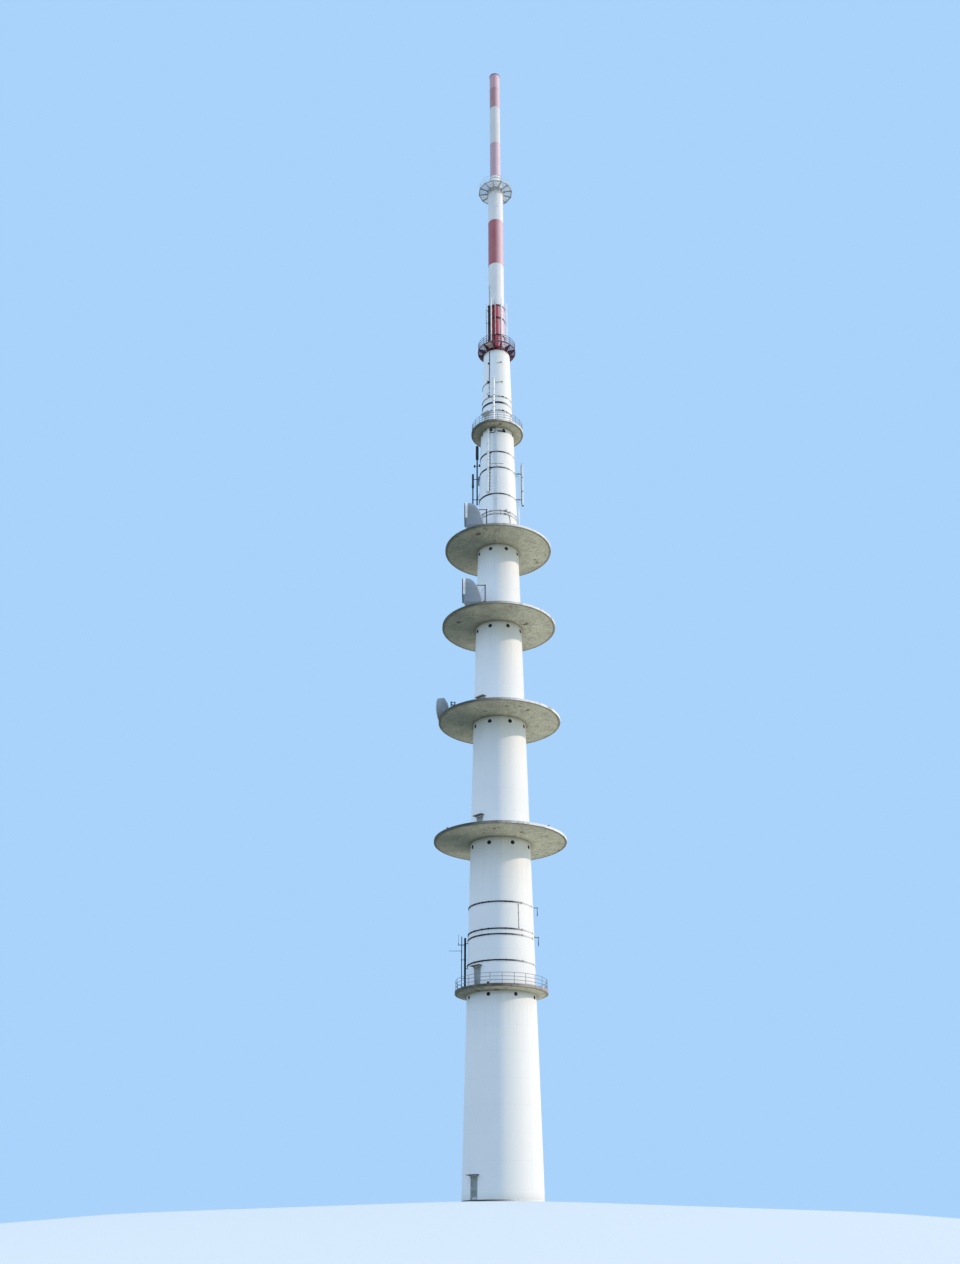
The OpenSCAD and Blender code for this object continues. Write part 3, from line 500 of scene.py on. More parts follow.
def make_bar_grating():
    """Grating panels between radial beams: load bars along each panel, cross rods over them."""
    t, given = part_tree("bar_grating", sides=12, first=0.0, inner=120.0, outer=240.0, foot=0.0, pitch=3.3,
                         bar_width=0.4, bar_depth=3.0, cross_pitch=10.0, gap=1.5)
    index, panel_turn = t.index(), 360.0 / given.sides
    slope = t.math("TANGENT", t.radians(panel_turn * 0.5))
    cube = t.grow("MeshCube", {"Size": (1.0, 1.0, 1.0)})

    def half_chord(radius, away):
        """Half the length of a chord at a distance from the axis."""
        return t.math("SQRT", t.math("MAXIMUM", radius * radius - away * away, 0.0))

    def lay_bars(count, bar_of, lift):
        """Bars in every panel; bar_of gives across, along, size and length for a row."""
        panel = t.math("FLOOR", index / count)
        across, along, size, length = bar_of(index - panel * count)
        turn = t.radians((panel + 0.5) * panel_turn + given.first)
        sine, cosine = t.math("SINE", turn), t.math("COSINE", turn)
        at = t.xyz(across * cosine + along * sine, across * sine - along * cosine, given.foot + lift)
        points = t.grow("Points", {"Count": given.sides * count, "Position": at})
        return t.copies(points, cube, turn, selection=t.math("GREATER_THAN", length, 2.0), scale=size)

    bars = t.math("FLOOR", given.outer * slope * 2.0 / given.pitch)

    def load_bar(row):
        across = (row + 0.5 - bars * 0.5) * given.pitch
        edge = (t.math("ABSOLUTE", across) + given.gap) / slope
        start, end = t.math("MAXIMUM", half_chord(given.inner, across), edge), half_chord(given.outer, across)
        length = end - start
        return across, (start + end) * 0.5, t.xyz(given.bar_width, length, given.bar_depth), length

    rods = t.math("FLOOR", (given.outer - given.inner) / given.cross_pitch)
    thin = given.bar_width * 0.9

    def cross_rod(row):
        away = (row + 0.5) * given.cross_pitch + given.inner
        width = t.math("MINIMUM", away * slope - given.gap, half_chord(given.outer, away)) * 2.0
        return row * 0.0, away, t.xyz(width, thin, thin), width

    return t.end(t.join(lay_bars(bars, load_bar, given.bar_depth * 0.5),
                        lay_bars(rods, cross_rod, given.bar_depth - thin)), given.finish)


RING_OF_PARTS, ROW_OF_PARTS, STUDS_ON_PATH = make_ring_of_parts(), make_row_of_parts(), make_studs_on_path()
GALLERY_RAILING, BAR_GRATING = make_gallery_railing(), make_bar_grating()


def placed(name, data):
    """An object in the scene."""
    made = bpy.data.objects.new(name, data)
    bpy.context.scene.collection.objects.link(made)
    return made


def grown(tree, part, finish, **sizes):
    """Runs a geometry tree on a part and gives back a plain mesh."""
    holder = placed("maker", as_mesh(part or []))
    maker = holder.modifiers.new("maker", "NODES")
    maker.node_group = tree
    given = {titled(key): value for key, value in sizes.items()} | {"Finish": FINISH[finish]}
    for item in tree.interface.items_tree:
        if item.name in given:
            value = given[item.name]
            maker[item.identifier] = float(value) if item.socket_type == "NodeSocketFloat" else value
    seen = bpy.context.evaluated_depsgraph_get()
    made = bpy.data.meshes.new_from_object(holder.evaluated_get(seen), depsgraph=seen)
    holder.modifiers.remove(maker)
    bpy.data.objects.remove(holder)
    return made


def around(part, finish, count, radius=0, height=0, first=0, lean=0):
    return grown(RING_OF_PARTS, part, finish, count=count, step=360 / count, first=first, radius=radius,
                 height=height, lean=lean)


def in_row(part, finish, count, start, end, bearing=0, lean=0):
    return grown(ROW_OF_PARTS, part, finish, count=count, start=tuple(start), end=tuple(end), bearing=bearing,
                 lean=lean)


def railing(finish, radius, foot, rails, posts, corners=96, pipe=5, first=0):
    return grown(GALLERY_RAILING, None, finish, radius=radius, foot=foot, height=RAIL_H, rails=rails,
                 posts=posts, corners=corners, pipe=pipe, first=first)


def piece(name, part, slot, *stands_for, finish=None, angle=32):
    """Shows a part as one piece on the tower's body, smooth except over sharp edges."""
    mesh = as_mesh(part)
    mesh.transform(Matrix.Scale(MM, 4))
    obj = placed(name, mesh)
    mesh.materials.clear()
    mesh.materials.append(FINISH[finish or slot])
    mesh.polygons.foreach_set("material_index", [0] * len(mesh.polygons))
    mesh.polygons.foreach_set("use_smooth", [True] * len(mesh.polygons))
    mesh.set_sharp_from_angle(angle=math.radians(angle))
    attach(obj, "root")
    if stands_for:
        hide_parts(*stands_for)


# Effects shared by several finishes


def make_water_runs():
    """Long thin marks left by water that runs down a round wall."""
    t, given = new_tree("water_runs", "ShaderNodeTree", {"mask": "Float"}, width=30.0, length=1.6)
    heading, _, height = t.round_place()[1:]
    where = t.vector("ADD", t.vector("SCALE", heading, given.width), t.xyz(z=height * given.length))
    t.node("NodeGroupOutput", [t.spread(t.noise(where, 1.0, 4.0, 0.6), 0.5, 0.8)])
    return t.tree


def make_blotches():
    """Large soft patches and fine grain for painted and bare surfaces."""
    t, given = new_tree("blotches", "ShaderNodeTree", {"patches": "Float", "grain": "Float"},
                        patch_scale=3.0, grain_scale=90.0)
    at = t.shade("TexCoord", out="Object")
    t.node("NodeGroupOutput", [t.noise(at, given.patch_scale, 5.0, 0.6, 0.4),
                               t.noise(at, given.grain_scale, 3.0, 0.7)])
    return t.tree


def make_specks():
    """Small scattered spots, such as rust points, pores and lichen."""
    t, given = new_tree("specks", "ShaderNodeTree", {"mask": "Float"}, scale=30.0, size=0.2)
    at = t.shade("TexCoord", out="Object")
    cells = t.shade("TexVoronoi", {"Vector": at, "Scale": given.scale}, "Distance")
    t.node("NodeGroupOutput", [t.spread(cells, given.size, 0.0) * t.spread(t.noise(at, 5.0, 2.0), 0.5, 0.62)])
    return t.tree


WATER_RUNS, BLOTCHES, SPECKS = make_water_runs(), make_blotches(), make_specks()


def toned(colour, by, plus=0.0):
    """A colour made darker or lighter."""
    return tuple(c * by + plus for c in colour)


class Finish(Tree):
    """A material built up from layers of colour; plain values go straight on the Principled shader."""

    def __init__(self, name, patch_scale=1.0, grain_scale=1.0, **plain):
        self.material = bpy.data.materials.new(name)
        self.material.use_nodes = True
        super().__init__(self.material.node_tree)
        self.shader = self.tree.nodes["Principled BSDF"]
        for key, value in plain.items():
            self.shader.inputs[key.replace("_", " ")].default_value = value
        self.at, self.heading, self.far, self.height = self.round_place()
        scales = {"patch_scale": patch_scale, "grain_scale": grain_scale}
        self.patches, self.grain = (self.effect(BLOTCHES, out, **scales) for out in ("Patches", "Grain"))

    def start(self, low, high, a, b):
        """The ground colour, from a to b over the soft patches."""
        self.patch_share = self.spread(self.patches, low, high)
        self.colour = self.mix(self.patch_share, a, b)
        return self

    def layer(self, share, tint):
        self.colour = self.mix(share, self.colour, tint)

    def done(self, rough=None, relief=None, strength=0.0, distance=0.0):
        wires = {"Base Color": self.colour, "Roughness": rough}
        if relief:
            wires["Normal"] = self.shade("Bump",
                                         {"Height": relief, "Strength": strength, "Distance": distance})
        for key, wire in wires.items():
            if wire:
                self.tree.links.new(wire.socket, self.shader.inputs[key])
        return self.material


def wall_paint(name, foot, head):
    """White masonry paint on one storey: lift joints, soft runs, a darker band just under the slab, painted
    sunlight on the sunny side.
    """
    tone = 1.0 if foot < 5.0 else 1.1
    p = Finish(name, 1.6, 140.0)
    p.start(0.3, 0.7, toned((0.73, 0.755, 0.79), tone), toned((0.80, 0.815, 0.84), tone))
    # Painted sunlight: the side that faces the sun is painted lighter and warmer than the bluer ground
    # colour.
    p.layer(p.sunny_side(0.0, 0.2), (0.86, 0.845, 0.81))
    runs = p.effect(WATER_RUNS, width=26.0, length=1.1)
    p.layer(runs * p.spread(p.height, head - 0.75, head) * 0.35, (0.42, 0.43, 0.41))
    p.layer(p.spread(p.height, head - 0.045, head) * p.spread(p.patches, 0.25, 0.6, 0.25, 0.75),
            (0.36, 0.36, 0.32))
    p.layer(p.spread(p.height, foot + 0.07, foot) * p.spread(p.grain, 0.35, 0.65, 0.1, 0.55),
            (0.45, 0.46, 0.44))
    lift = p.math("FRACT", p.height * 4.0)
    joint = p.spread(p.math("ABSOLUTE", lift - 0.5), 0.0, 0.012, 1.0, 0.0)
    p.layer(joint * 0.16, (0.50, 0.52, 0.53))
    return p.done(p.spread(p.patches, 0.2, 0.8, 0.52, 0.68), p.grain * 0.4 - joint, 0.25, 0.002)


def slab_concrete(name, rim_r, root_r, rust=0.4, shade=1.02, tone=(0.435, 0.435, 0.375),
                  faces=((0.34, 0.30, 0.26), (0.84, 0.82, 0.78))):
    """Bare concrete: radial streaks, pores, brown patches, a darker brown ring at the wall, a stained rim
    face, painted light and shade by side.
    """
    p = Finish(name, 4.0, 170.0)
    tone = toned(tone, shade)
    p.start(0.3, 0.7, toned(tone, 0.76), toned(tone, 1.12))
    # Painted sunlight: the underside is lighter on the side that faces the sun.
    p.layer(p.sunny_side(-0.1, 0.9) * 0.42, toned(tone, 1.62))
    for scale, low, share in ((9.0, 0.50, 0.45), (34.0, 0.47, 0.50)):
        p.layer(p.spread(p.noise(p.at, scale, 4.0, 0.7, 0.6), low, low + 0.14) * share, toned(tone, 0.48))
    for wide, long, low, share in ((14.0, 3.0, 0.48, 0.22), (40.0, 6.0, 0.52, 0.18)):
        along = p.vector("ADD", p.vector("MULTIPLY", p.heading, (wide, wide, 0.0)), p.xyz(z=p.far * long))
        p.layer(p.spread(p.noise(along, 1.0, 4.0, 0.6), low, low + 0.22) * share, toned(tone, 0.55))
    specks, spots = (p.effect(SPECKS, scale=scale, size=0.42) for scale in (22.0, 8.0))
    crumbs = p.spread(spots + (p.grain * 1.2 - 0.6), 0.35, 0.5)
    p.layer(specks * 0.8, (0.12, 0.10, 0.08))
    p.layer(crumbs * p.spread(spots, 0.0, 0.1) * 0.85, (0.10, 0.07, 0.055))
    broken = p.spread(p.noise(p.at, 16.0, 3.0, 0.7), 0.42, 0.58)
    p.layer(p.spread(p.far, rim_r - 0.030, rim_r - 0.020) * 0.7, (0.10, 0.10, 0.08))
    p.layer(p.spread(p.far, rim_r - 0.035, rim_r - 0.008) * broken * rust, (0.17, 0.12, 0.09))
    root = p.spread(p.far, root_r + 0.075, root_r)
    p.layer(root * root * 0.75, (0.20, 0.17, 0.12))
    stains = p.spread(p.noise(p.at, 6.0, 4.0, 0.65), 0.46, 0.60)
    # Rim face by its side: near-black where shaded (painted shade), faces[0] between, the pale faces[1] on
    # the sunny side (painted sunlight); real stains on top.
    face = p.mix(p.sunny_side(-0.35, 0.05), (0.065, 0.075, 0.06), faces[0])
    face = p.mix(p.sunny_side(0.05, 0.40), face, faces[1])
    face = p.mix(stains * (rust + 0.3) * broken, face, (0.17, 0.125, 0.10))
    p.layer(p.math("GREATER_THAN", p.far, rim_r - 0.002), face)
    return p.done(p.spread(p.grain, 0.3, 0.7, 0.78, 0.95), p.grain * 0.5 + specks * -0.8, 0.5, 0.003)


def shell_paint(name, new, old, rough=0.38, dirt=0.25, fades=(), coat=0.08, painted_sunlight=(), sheen=0.5):
    """Satin paint on metal or glass fibre: patches, faint runs, small chips; fades are (from height, colour);
    painted_sunlight lists where around the axis the painted sunlight and highlight start and end, its share
    and its colour."""
    p = Finish(name, 5.0, 220.0, Coat_Weight=coat, Coat_Roughness=0.3, Specular_IOR_Level=sheen)
    p.start(0.32, 0.7, new, old)
    for start, tint in fades:
        p.layer(p.math("GREATER_THAN", p.height, start), p.mix(p.patch_share, tint, toned(tint, 0.9, 0.04)))
    # Painted sunlight and highlight: a lighter, pinker colour on the side that faces the sun.
    for low, high, most, tint in painted_sunlight:
        p.layer(p.sunny_side(low, high) * most, tint)
    p.layer(p.effect(WATER_RUNS, width=24.0, length=2.4) * dirt, toned(new, 0.45, 0.05))
    p.layer(p.effect(SPECKS, scale=46.0, size=0.12) * 0.5, (0.16, 0.12, 0.10))
    return p.done(p.spread(p.grain, 0.3, 0.7, rough, rough + 0.16), p.grain, 0.10, 0.001)


def zinc(name, tone=(0.60, 0.61, 0.62)):
    """Dull galvanised steel with its cloudy grain."""
    p = Finish(name, 26.0, 300.0, Metallic=0.35)
    p.start(0.3, 0.7, toned(tone, 0.7), tone)
    return p.done(p.spread(p.patches, 0.3, 0.7, 0.42, 0.62), p.grain, 0.12, 0.0008)


def dark_metal(name, tone, rough=0.5):
    """Weathered dark steel and cable jackets, a little dusty."""
    p = Finish(name, 14.0, 200.0, Specular_IOR_Level=0.2)
    p.start(0.35, 0.75, tone, toned(tone, 1.7, 0.02))
    return p.done(p.spread(p.grain, 0.3, 0.7, rough, rough + 0.25), p.grain, 0.15, 0.0008)


def band_steel(name):
    """Dark straps, lighter where they are thin, and painted sunlight that makes them pale on the sunny side.
    """
    p = Finish(name, 9.0, 200.0, Roughness=0.7, Specular_IOR_Level=0.1)
    p.start(0.35, 0.75, (0.012, 0.012, 0.016), (0.05, 0.05, 0.055))
    for z in (7.698, 9.265, 9.489):
        p.layer(p.math("LESS_THAN", p.math("ABSOLUTE", p.height - z), 0.045), (0.48, 0.43, 0.40))
    # Painted sunlight: the straps turn pale on the side that faces the sun.
    p.layer(p.sunny_side(0.40, 0.82), (0.72, 0.72, 0.70))
    return p.done()


FINISH = {
    "galvanised": zinc("zinc"),
    "rail_grey": zinc("rail_grey", (0.26, 0.27, 0.29)),
    "dark_metal": dark_metal("dark_metal", (0.045, 0.048, 0.055)),
    "flange_grey": dark_metal("flange_grey", (0.20, 0.20, 0.22), 0.6),
    "black_steel": dark_metal("black_steel", (0.016, 0.017, 0.020), 0.6),
    "bands": band_steel("bands"),
}
for paint, new, old, look in (
        ("shell_white", (0.83, 0.81, 0.81), (0.76, 0.74, 0.75), dict(fades=[(14.0, (0.73, 0.69, 0.69))])),
        # shell_red: the sunny side is painted pink as painted sunlight and highlight.
        ("shell_red", (0.42, 0.075, 0.08), (0.45, 0.115, 0.12),
         dict(coat=0.3, painted_sunlight=[(0.0, 0.6, 0.68, (0.86, 0.64, 0.68))],
              fades=[(13.3, (0.56, 0.34, 0.39)), (14.5, (0.45, 0.19, 0.205)), (15.372, (0.61, 0.32, 0.36))])),
        ("steel_white", (0.86, 0.86, 0.85), (0.76, 0.76, 0.73), dict(rough=0.42, dirt=0.3)),
        # steel_red: the sunny side is painted bright red, then pinkish white, as painted sunlight and
        # highlight.
        ("steel_red", (0.30, 0.022, 0.024), (0.36, 0.04, 0.045),
         dict(rough=0.5, dirt=0.3, coat=0.0, sheen=0.12,
              painted_sunlight=[(-0.2, 0.1, 0.8, (0.78, 0.13, 0.17)), (0.28, 0.48, 1.0, (0.92, 0.68, 0.72))])),
        # gallery_red: dark maroon paint, partly painted shade: darker and more purple than the red steel, as
        # the gallery is seen in shade.
        ("gallery_red", (0.13, 0.05, 0.08), (0.18, 0.085, 0.115), dict(rough=0.5, dirt=0.4)),
        ("grating_red", (0.28, 0.17, 0.21), (0.34, 0.21, 0.25), dict(rough=0.5, dirt=0.3)),
        ("hatch_cream", (0.99, 0.96, 0.93), (0.98, 0.94, 0.90), dict(rough=0.4, dirt=0.05, coat=0.3)),
        ("dish_white", (0.27, 0.30, 0.335), (0.24, 0.27, 0.30), dict(rough=0.45, dirt=0.3)),
        ("duct_white", (0.91, 0.90, 0.87), (0.86, 0.85, 0.83), dict(rough=0.3, dirt=0.15, coat=0.4)),
        ("canopy_brown", (0.26, 0.235, 0.20), (0.18, 0.16, 0.14),
         dict(rough=0.6, dirt=0.5, fades=[(9.0, (0.86, 0.87, 0.88))])),
        ("door_grey", (0.25, 0.29, 0.29), (0.32, 0.35, 0.34),
         dict(rough=0.45, fades=[(9.0, (0.62, 0.65, 0.66))]))):
    FINISH[paint] = shell_paint(paint, new, old, **look)
# The lower gallery's rim face is dark brown: partly stain, partly painted shade.
SLAB_LOOKS = {"lower_gallery": dict(rust=0.85, faces=((0.10, 0.062, 0.048), (0.42, 0.36, 0.32))),
              "upper_gallery": dict(shade=0.86)}
for slab in SLABS:
    FINISH[slab] = slab_concrete("concrete_" + slab, box_of(slab)[1].x * MM,
                                 wall_r(FLOORS[slab] - ROOT_T) * MM, **SLAB_LOOKS.get(slab, {}))
FINISH["ground_slab"] = slab_concrete("concrete_ground", SHAFT_BASE_R * MM, 0.0, 0.1, 1.0, (0.46, 0.46, 0.43))
for glass, near, deep, rough, coat in (("lamp_glass", (0.42, 0.05, 0.04), (0.20, 0.02, 0.02), 0.12, 0.6),
                                       ("lamp_cover", (0.70, 0.70, 0.66), (0.52, 0.52, 0.48), 0.25, 0.4)):
    pane = Finish(glass, 60.0, 400.0, Roughness=rough, Coat_Weight=coat)
    FINISH[glass] = pane.start(0.3, 0.7, near, deep).done()
STOREYS = ("shaft_foot", "shaft_first", "shaft_second", "shaft_third", "shaft_fourth", "shaft_fifth",
           "shaft_top")
for storey in STOREYS:
    FINISH[storey] = wall_paint("paint_" + storey, *(corner.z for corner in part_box(storey)))
KEPT = {
    "shell_white": ["radome_lower_white", "radome_upper_white", "slim_white"],
    "shell_red": ["radome_red", "slim_lower_red", "slim_upper_red"],
    "steel_white": ["mast_cone"], "duct_white": ["cage_tubes"], "steel_red": ["mast_core"],
    "galvanised": ["ring_gallery_frame"], "bands": ["shaft_bands"],
} | {node: [node] for node in (*STOREYS, *SLABS, "ground_slab")}
for finish, nodes in KEPT.items():
    for node in nodes:
        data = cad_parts[node].data
        data.materials.clear()
        data.materials.append(FINISH[finish])


# Concrete shaft: vents, drip edges, doors, canopies, railings


def vent_sleeve(r):
    """A collar on the wall and a sleeve with sloping louvres behind it."""
    shape = Shape().lathe([(r + 7, -1), (r + 7, 1.5), (r + 6, 2.2), (r, 2.2), (r - 0.8, 1.2), (r - 0.8, -14),
                           (r - 0.1, -14), (r - 0.1, -1)], 24, FACE_OUT)
    for z in (k * r * 0.36 for k in range(-2, 3)):
        shape.box(math.sqrt((r - 0.8) ** 2 - z * z), 2, 0.3, moved(0, 6, z) @ tilted(40))
    return shape


def make_vents():
    rings = []
    for slab in SLABS:
        radius, below = (12, 80) if slab.endswith("gallery") else (15, 106)
        z = FLOORS[slab] - below
        rings.append(around(vent_sleeve(radius), "black_steel", 8, wall_r(z), z, 22.5, LEAN))
    piece("vent_sleeves", rings, "dark_metal", finish="black_steel")


def make_drip_edges():
    """A drip bead under each rim and a mortar fillet where each slab meets the wall."""
    shape = Shape()
    for slab in SLABS:
        rim, foot = box_of(slab)[1].x, FLOORS[slab] - ROOT_T
        root, bead = wall_r(foot), rim - 10
        under = foot + (bead - root) * (ROOT_T - RIM_T) / (rim - root)
        shape.ring((bead - 1.8, bead + 1.8), (under - 1.2, under + 1), 160)
        shape.lathe([(3.5, -0.2), (3.5, 0.3), (-1, 0.3), (-1, -4.5), (0.4, -4.5)], 160, about=(root, foot))
    piece("slab_drip_edges", shape, "concrete_grey", finish="platform_1")


def door_body(shape, place):
    """A pressed steel door with its frame; y = 0 is the leaf's outer face."""
    half, inside = DOOR_W / 2, DOOR_W / 2 - 4.5
    for x in (-1, 1):
        shape.box((x * half, x * inside), (-2.2, 6), (0, DOOR_H), place)
    shape.box(inside, (-2.2, 6), (DOOR_H - 4.5, DOOR_H), place).box(inside, (-5, 6), (0, 2.2), place)
    side, low, top = half - 5.2, 3, DOOR_H - 5.2
    panel = side - 12
    shape.box(side, (1.2, 5.8), (low, top), place)
    for x, z in (((-side, -panel), (low, top)), ((panel, side), (low, top)), (panel, (top - 14, top)),
                 (panel, (92, 106)), (panel, (low, low + 20))):
        shape.box(x, (0, 1.2), z, place)
    shape.loft([[(x, y, z) for x, z in rounded(-22 + e, 118 + e, 22 - e, 176 - e, 2)]
                for y, e in ((1.2, 0), (0.2, 1.2))], place)
    for k in range(9):
        shape.box(24, 2, 0.3, place @ moved(0, 0.8, 34 + 5.8 * k) @ tilted(35))
    for x in (-24.5, 24.5):
        shape.box((x - 1, x + 1), (-1, 1.2), (29, 85), place)


def door_fittings(shape, place):
    """Hinges, lever handle, lock plate and kick plate."""
    for z in (28, 100, 176):
        shape.rod(1.6, z - 6, z + 6, place @ moved(-42.5, -1.6), 10)
        shape.box((-42.5, -35), (-0.4, 0.1), (z - 5.5, z + 5.5), place)
    shape.pad((28.5, 34.5), (90, 114), (0, 0.8), 1.5, place @ FACE_OUT)
    shape.rod(1.3, 0, 4.5, place @ moved(31.5, 0, 107) @ FACE_OUT, 10)
    shape.tube([(31.8, -4.2, 107), (28, -4.6, 107), (21.5, -4.4, 106.4), (20.5, -3, 106.2)], 1, 8, place)
    shape.rod(1.2, 0, 1.2, place @ moved(31.5, 0, 96) @ FACE_OUT, 10)
    shape.box(29, (-0.4, 0.1), (4.5, 21.5), place)


def make_doors():
    bodies, fittings = Shape(), Shape()
    for z in FLOORS.values():
        place = moved(0, DOOR_RECESS - wall_r(z + DOOR_H), z)
        door_body(bodies, place)
        door_fittings(fittings, place)
    piece("door_leaves", bodies, "door_grey", "doors")
    piece("door_fittings", fittings, "galvanised")


def make_canopies():
    """A thin slab with a turned-up edge on two side brackets over each door."""
    shape, half = Shape(), CANOPY_W / 2
    for z in (floor + DOOR_H + CANOPY_RISE for floor in FLOORS.values()):
        inner, front, high = wall_r(z) - 2, -wall_r(z) - CANOPY_OUT, (z, z + CANOPY_T)
        back = [(x, -math.sqrt(inner ** 2 - x * x)) for x in (half * (1 - k / 6) for k in range(13))]
        shape.prism([(-half, front), (half, front)] + back, z + 1.2, z + 5)
        shape.box(half, (front, front + 1.6), high)
        for x in (-1, 1):
            shape.box((x * half, x * (half - 1.6)), (front + 1.6, back[0][1] + 1), high)
        y = -math.sqrt(inner ** 2 - 54 ** 2)
        for x in (-54, 51.5):
            shape.plate((x, x + 2.5), [(y, z + 1.2), (y - 32, z + 1.2), (y - 32, z - 0.4), (y - 2, z - 7),
                                       (y, z - 7)])
    piece("door_canopy_slabs", shape, "steel_white", "door_canopies", finish="canopy_brown")


def make_concrete_gallery_railings():
    for slab in ("lower_gallery", "upper_gallery"):
        rails = railing("rail_grey", box_of(slab + "_railing")[1].x - 2.5, FLOORS[slab], 3, 24)
        piece(slab + "_rails", rails, "galvanised", slab + "_railing", finish="rail_grey")


# Bands, ducts and ladder on the wall


def make_band_locks():
    """Tension locks and guide clips that close the bands, and black strips on the shaded side of four bands,
    painted shade.
    """
    lock = Shape().box(11, (-8.5, -0.5), (-1, 13)).rod(1.8, -19, 19, moved(0, -7.8, 6) @ LYING, 8)
    lock.nuts((-16, 16), -6, (6,), 2.4, 2.2)
    clip = Shape().box(3, (-7.2, -6), (-2, 14)).box(3, (-7.2, 0.5), (14, 15.2))
    clip.box(3, (-7.2, 0.5), (-3.2, -2))
    rings, painted_shade_strips = [], Shape()
    for z in BANDS:
        first = 10 if z < FLOORS["platform_1"] else 24 if 7900 < z < FLOORS["upper_gallery"] else 66
        rings.append(around(lock, "dark_metal", 2, wall_r(z), z, first, LEAN))
        rings.append(around(clip, "dark_metal", 12, wall_r(z), z, 22, LEAN))
    # Painted shade: black strips on the shaded side of four bands.
    for z in (7965, 8361, 8599, 9387):
        painted_shade_strips.sector(-12, 74, 30, z + 6, 10, -0.3, 3, lambda h: wall_r(z) - 0.02 * (h - z + 4))
    piece("band_liners", painted_shade_strips, "dark_metal", finish="black_steel")
    piece("band_locks", rings, "dark_metal", finish="black_steel")


def make_ducts():
    """Two white ducts with cover joints and straps, and the dark cables near the top."""
    ducts, straps, cables = Shape(), Shape(), Shape()
    upper, side = FLOORS["upper_gallery"], math.tan(math.radians(4))
    section = ((1, 6.2), (1, 13), (0.5, 23.6), (-0.5, 23.6), (-1, 13), (-1, 6.2))
    for bearing, z0, z1 in ((14, 8000, upper - ROOT_T), (32, upper, upper + 763)):
        ducts.loft([[(x * side * wall_r(z), -wall_r(z) - out, z) for x, out in section] for z in (z0, z1)],
                   turned(bearing))
        for k in (1, 2, 3):
            straps.sector(bearing, 6.5, 6, z0 + (z1 - z0) * k / 4, 4, 20, 25)
        for z in (z0 + 15, z0 + (z1 - z0) * 0.375, z0 + (z1 - z0) * 0.625, z1 - 15):
            straps.sector(bearing, 8.4, 6, z, 2.5, 6, 25.4)
            for away in (-4.9, 4.9):
                straps.sector(bearing + away, 1.2, 1, z, 2.5, -0.3, 7.2)
    foot = 9510
    for bearing, low in ((11.1, 9742), (12, foot + 4), (12.9, 9742)):
        cables.tube([off_wall(bearing, z, 4.2) for z in (low, CONCRETE_TOP - 0.4)], 1.7)
    for k in range(9):
        cables.sector(12, 3.6, 2, foot + 60 + 78 * k, 2, 0, 7.2)
    place = on_wall(12, foot)
    cables.box(10.5, (-13.5, 0.4), (-14, 10), place).box(11.5, (-15, -13.5), (-15, 11), place)
    piece("cable_duct_covers", ducts, "steel_white", "cable_ducts", finish="duct_white")
    piece("cable_duct_straps", straps, "galvanised")
    piece("dark_cable_line", cables, "dark_metal")


def make_ladder():
    """Flat stringers, round rungs, a fall-arrest rail and stand-offs on the leaning wall."""
    bearing, half, off, pitch = 37, 18, 16, 30
    z0, z1 = FLOORS["platform_4"], FLOORS["upper_gallery"] - ROOT_T
    rails, holder = Shape(), Shape()
    for x in (-half, half):
        rails.loft([[(x - 0.9, y - 4.2, z), (x + 0.9, y - 4.2, z), (x + 0.9, y, z), (x - 0.9, y, z)]
                    for y, z in ((-wall_r(z) - off, z) for z in (z0, z1))], turned(bearing))
        holder.box((x - 0.8, x + 0.8), (-off - 2, -0.2), 1.5).box((x - 3.5, x + 3.5), (-1, 0.6), 4.5)
        holder.nuts((x,), -1, (-3, 3), 0.8, 0.8)
    rails.tube([off_wall(bearing, z, off + 5.5) for z in (z0 + 20, z1 - 20)], 1.2)
    ends = [off_wall(bearing, z) for z in (z0 + 120, z1 - 100)]
    holders = in_row(holder, "galvanised", 7, *ends, bearing, LEAN)
    count = int((z1 - z0) / pitch) - 1
    ends = [off_wall(bearing, z, off + 2.1) for z in (z0 + pitch, z0 + pitch * count)]
    rungs = in_row(Shape().rod(1.4, -half, half, LYING, 8), "galvanised", count, *ends, bearing, LEAN)
    piece("ladder_rails_and_rungs", [rails, holders, rungs], "galvanised", "ladder")


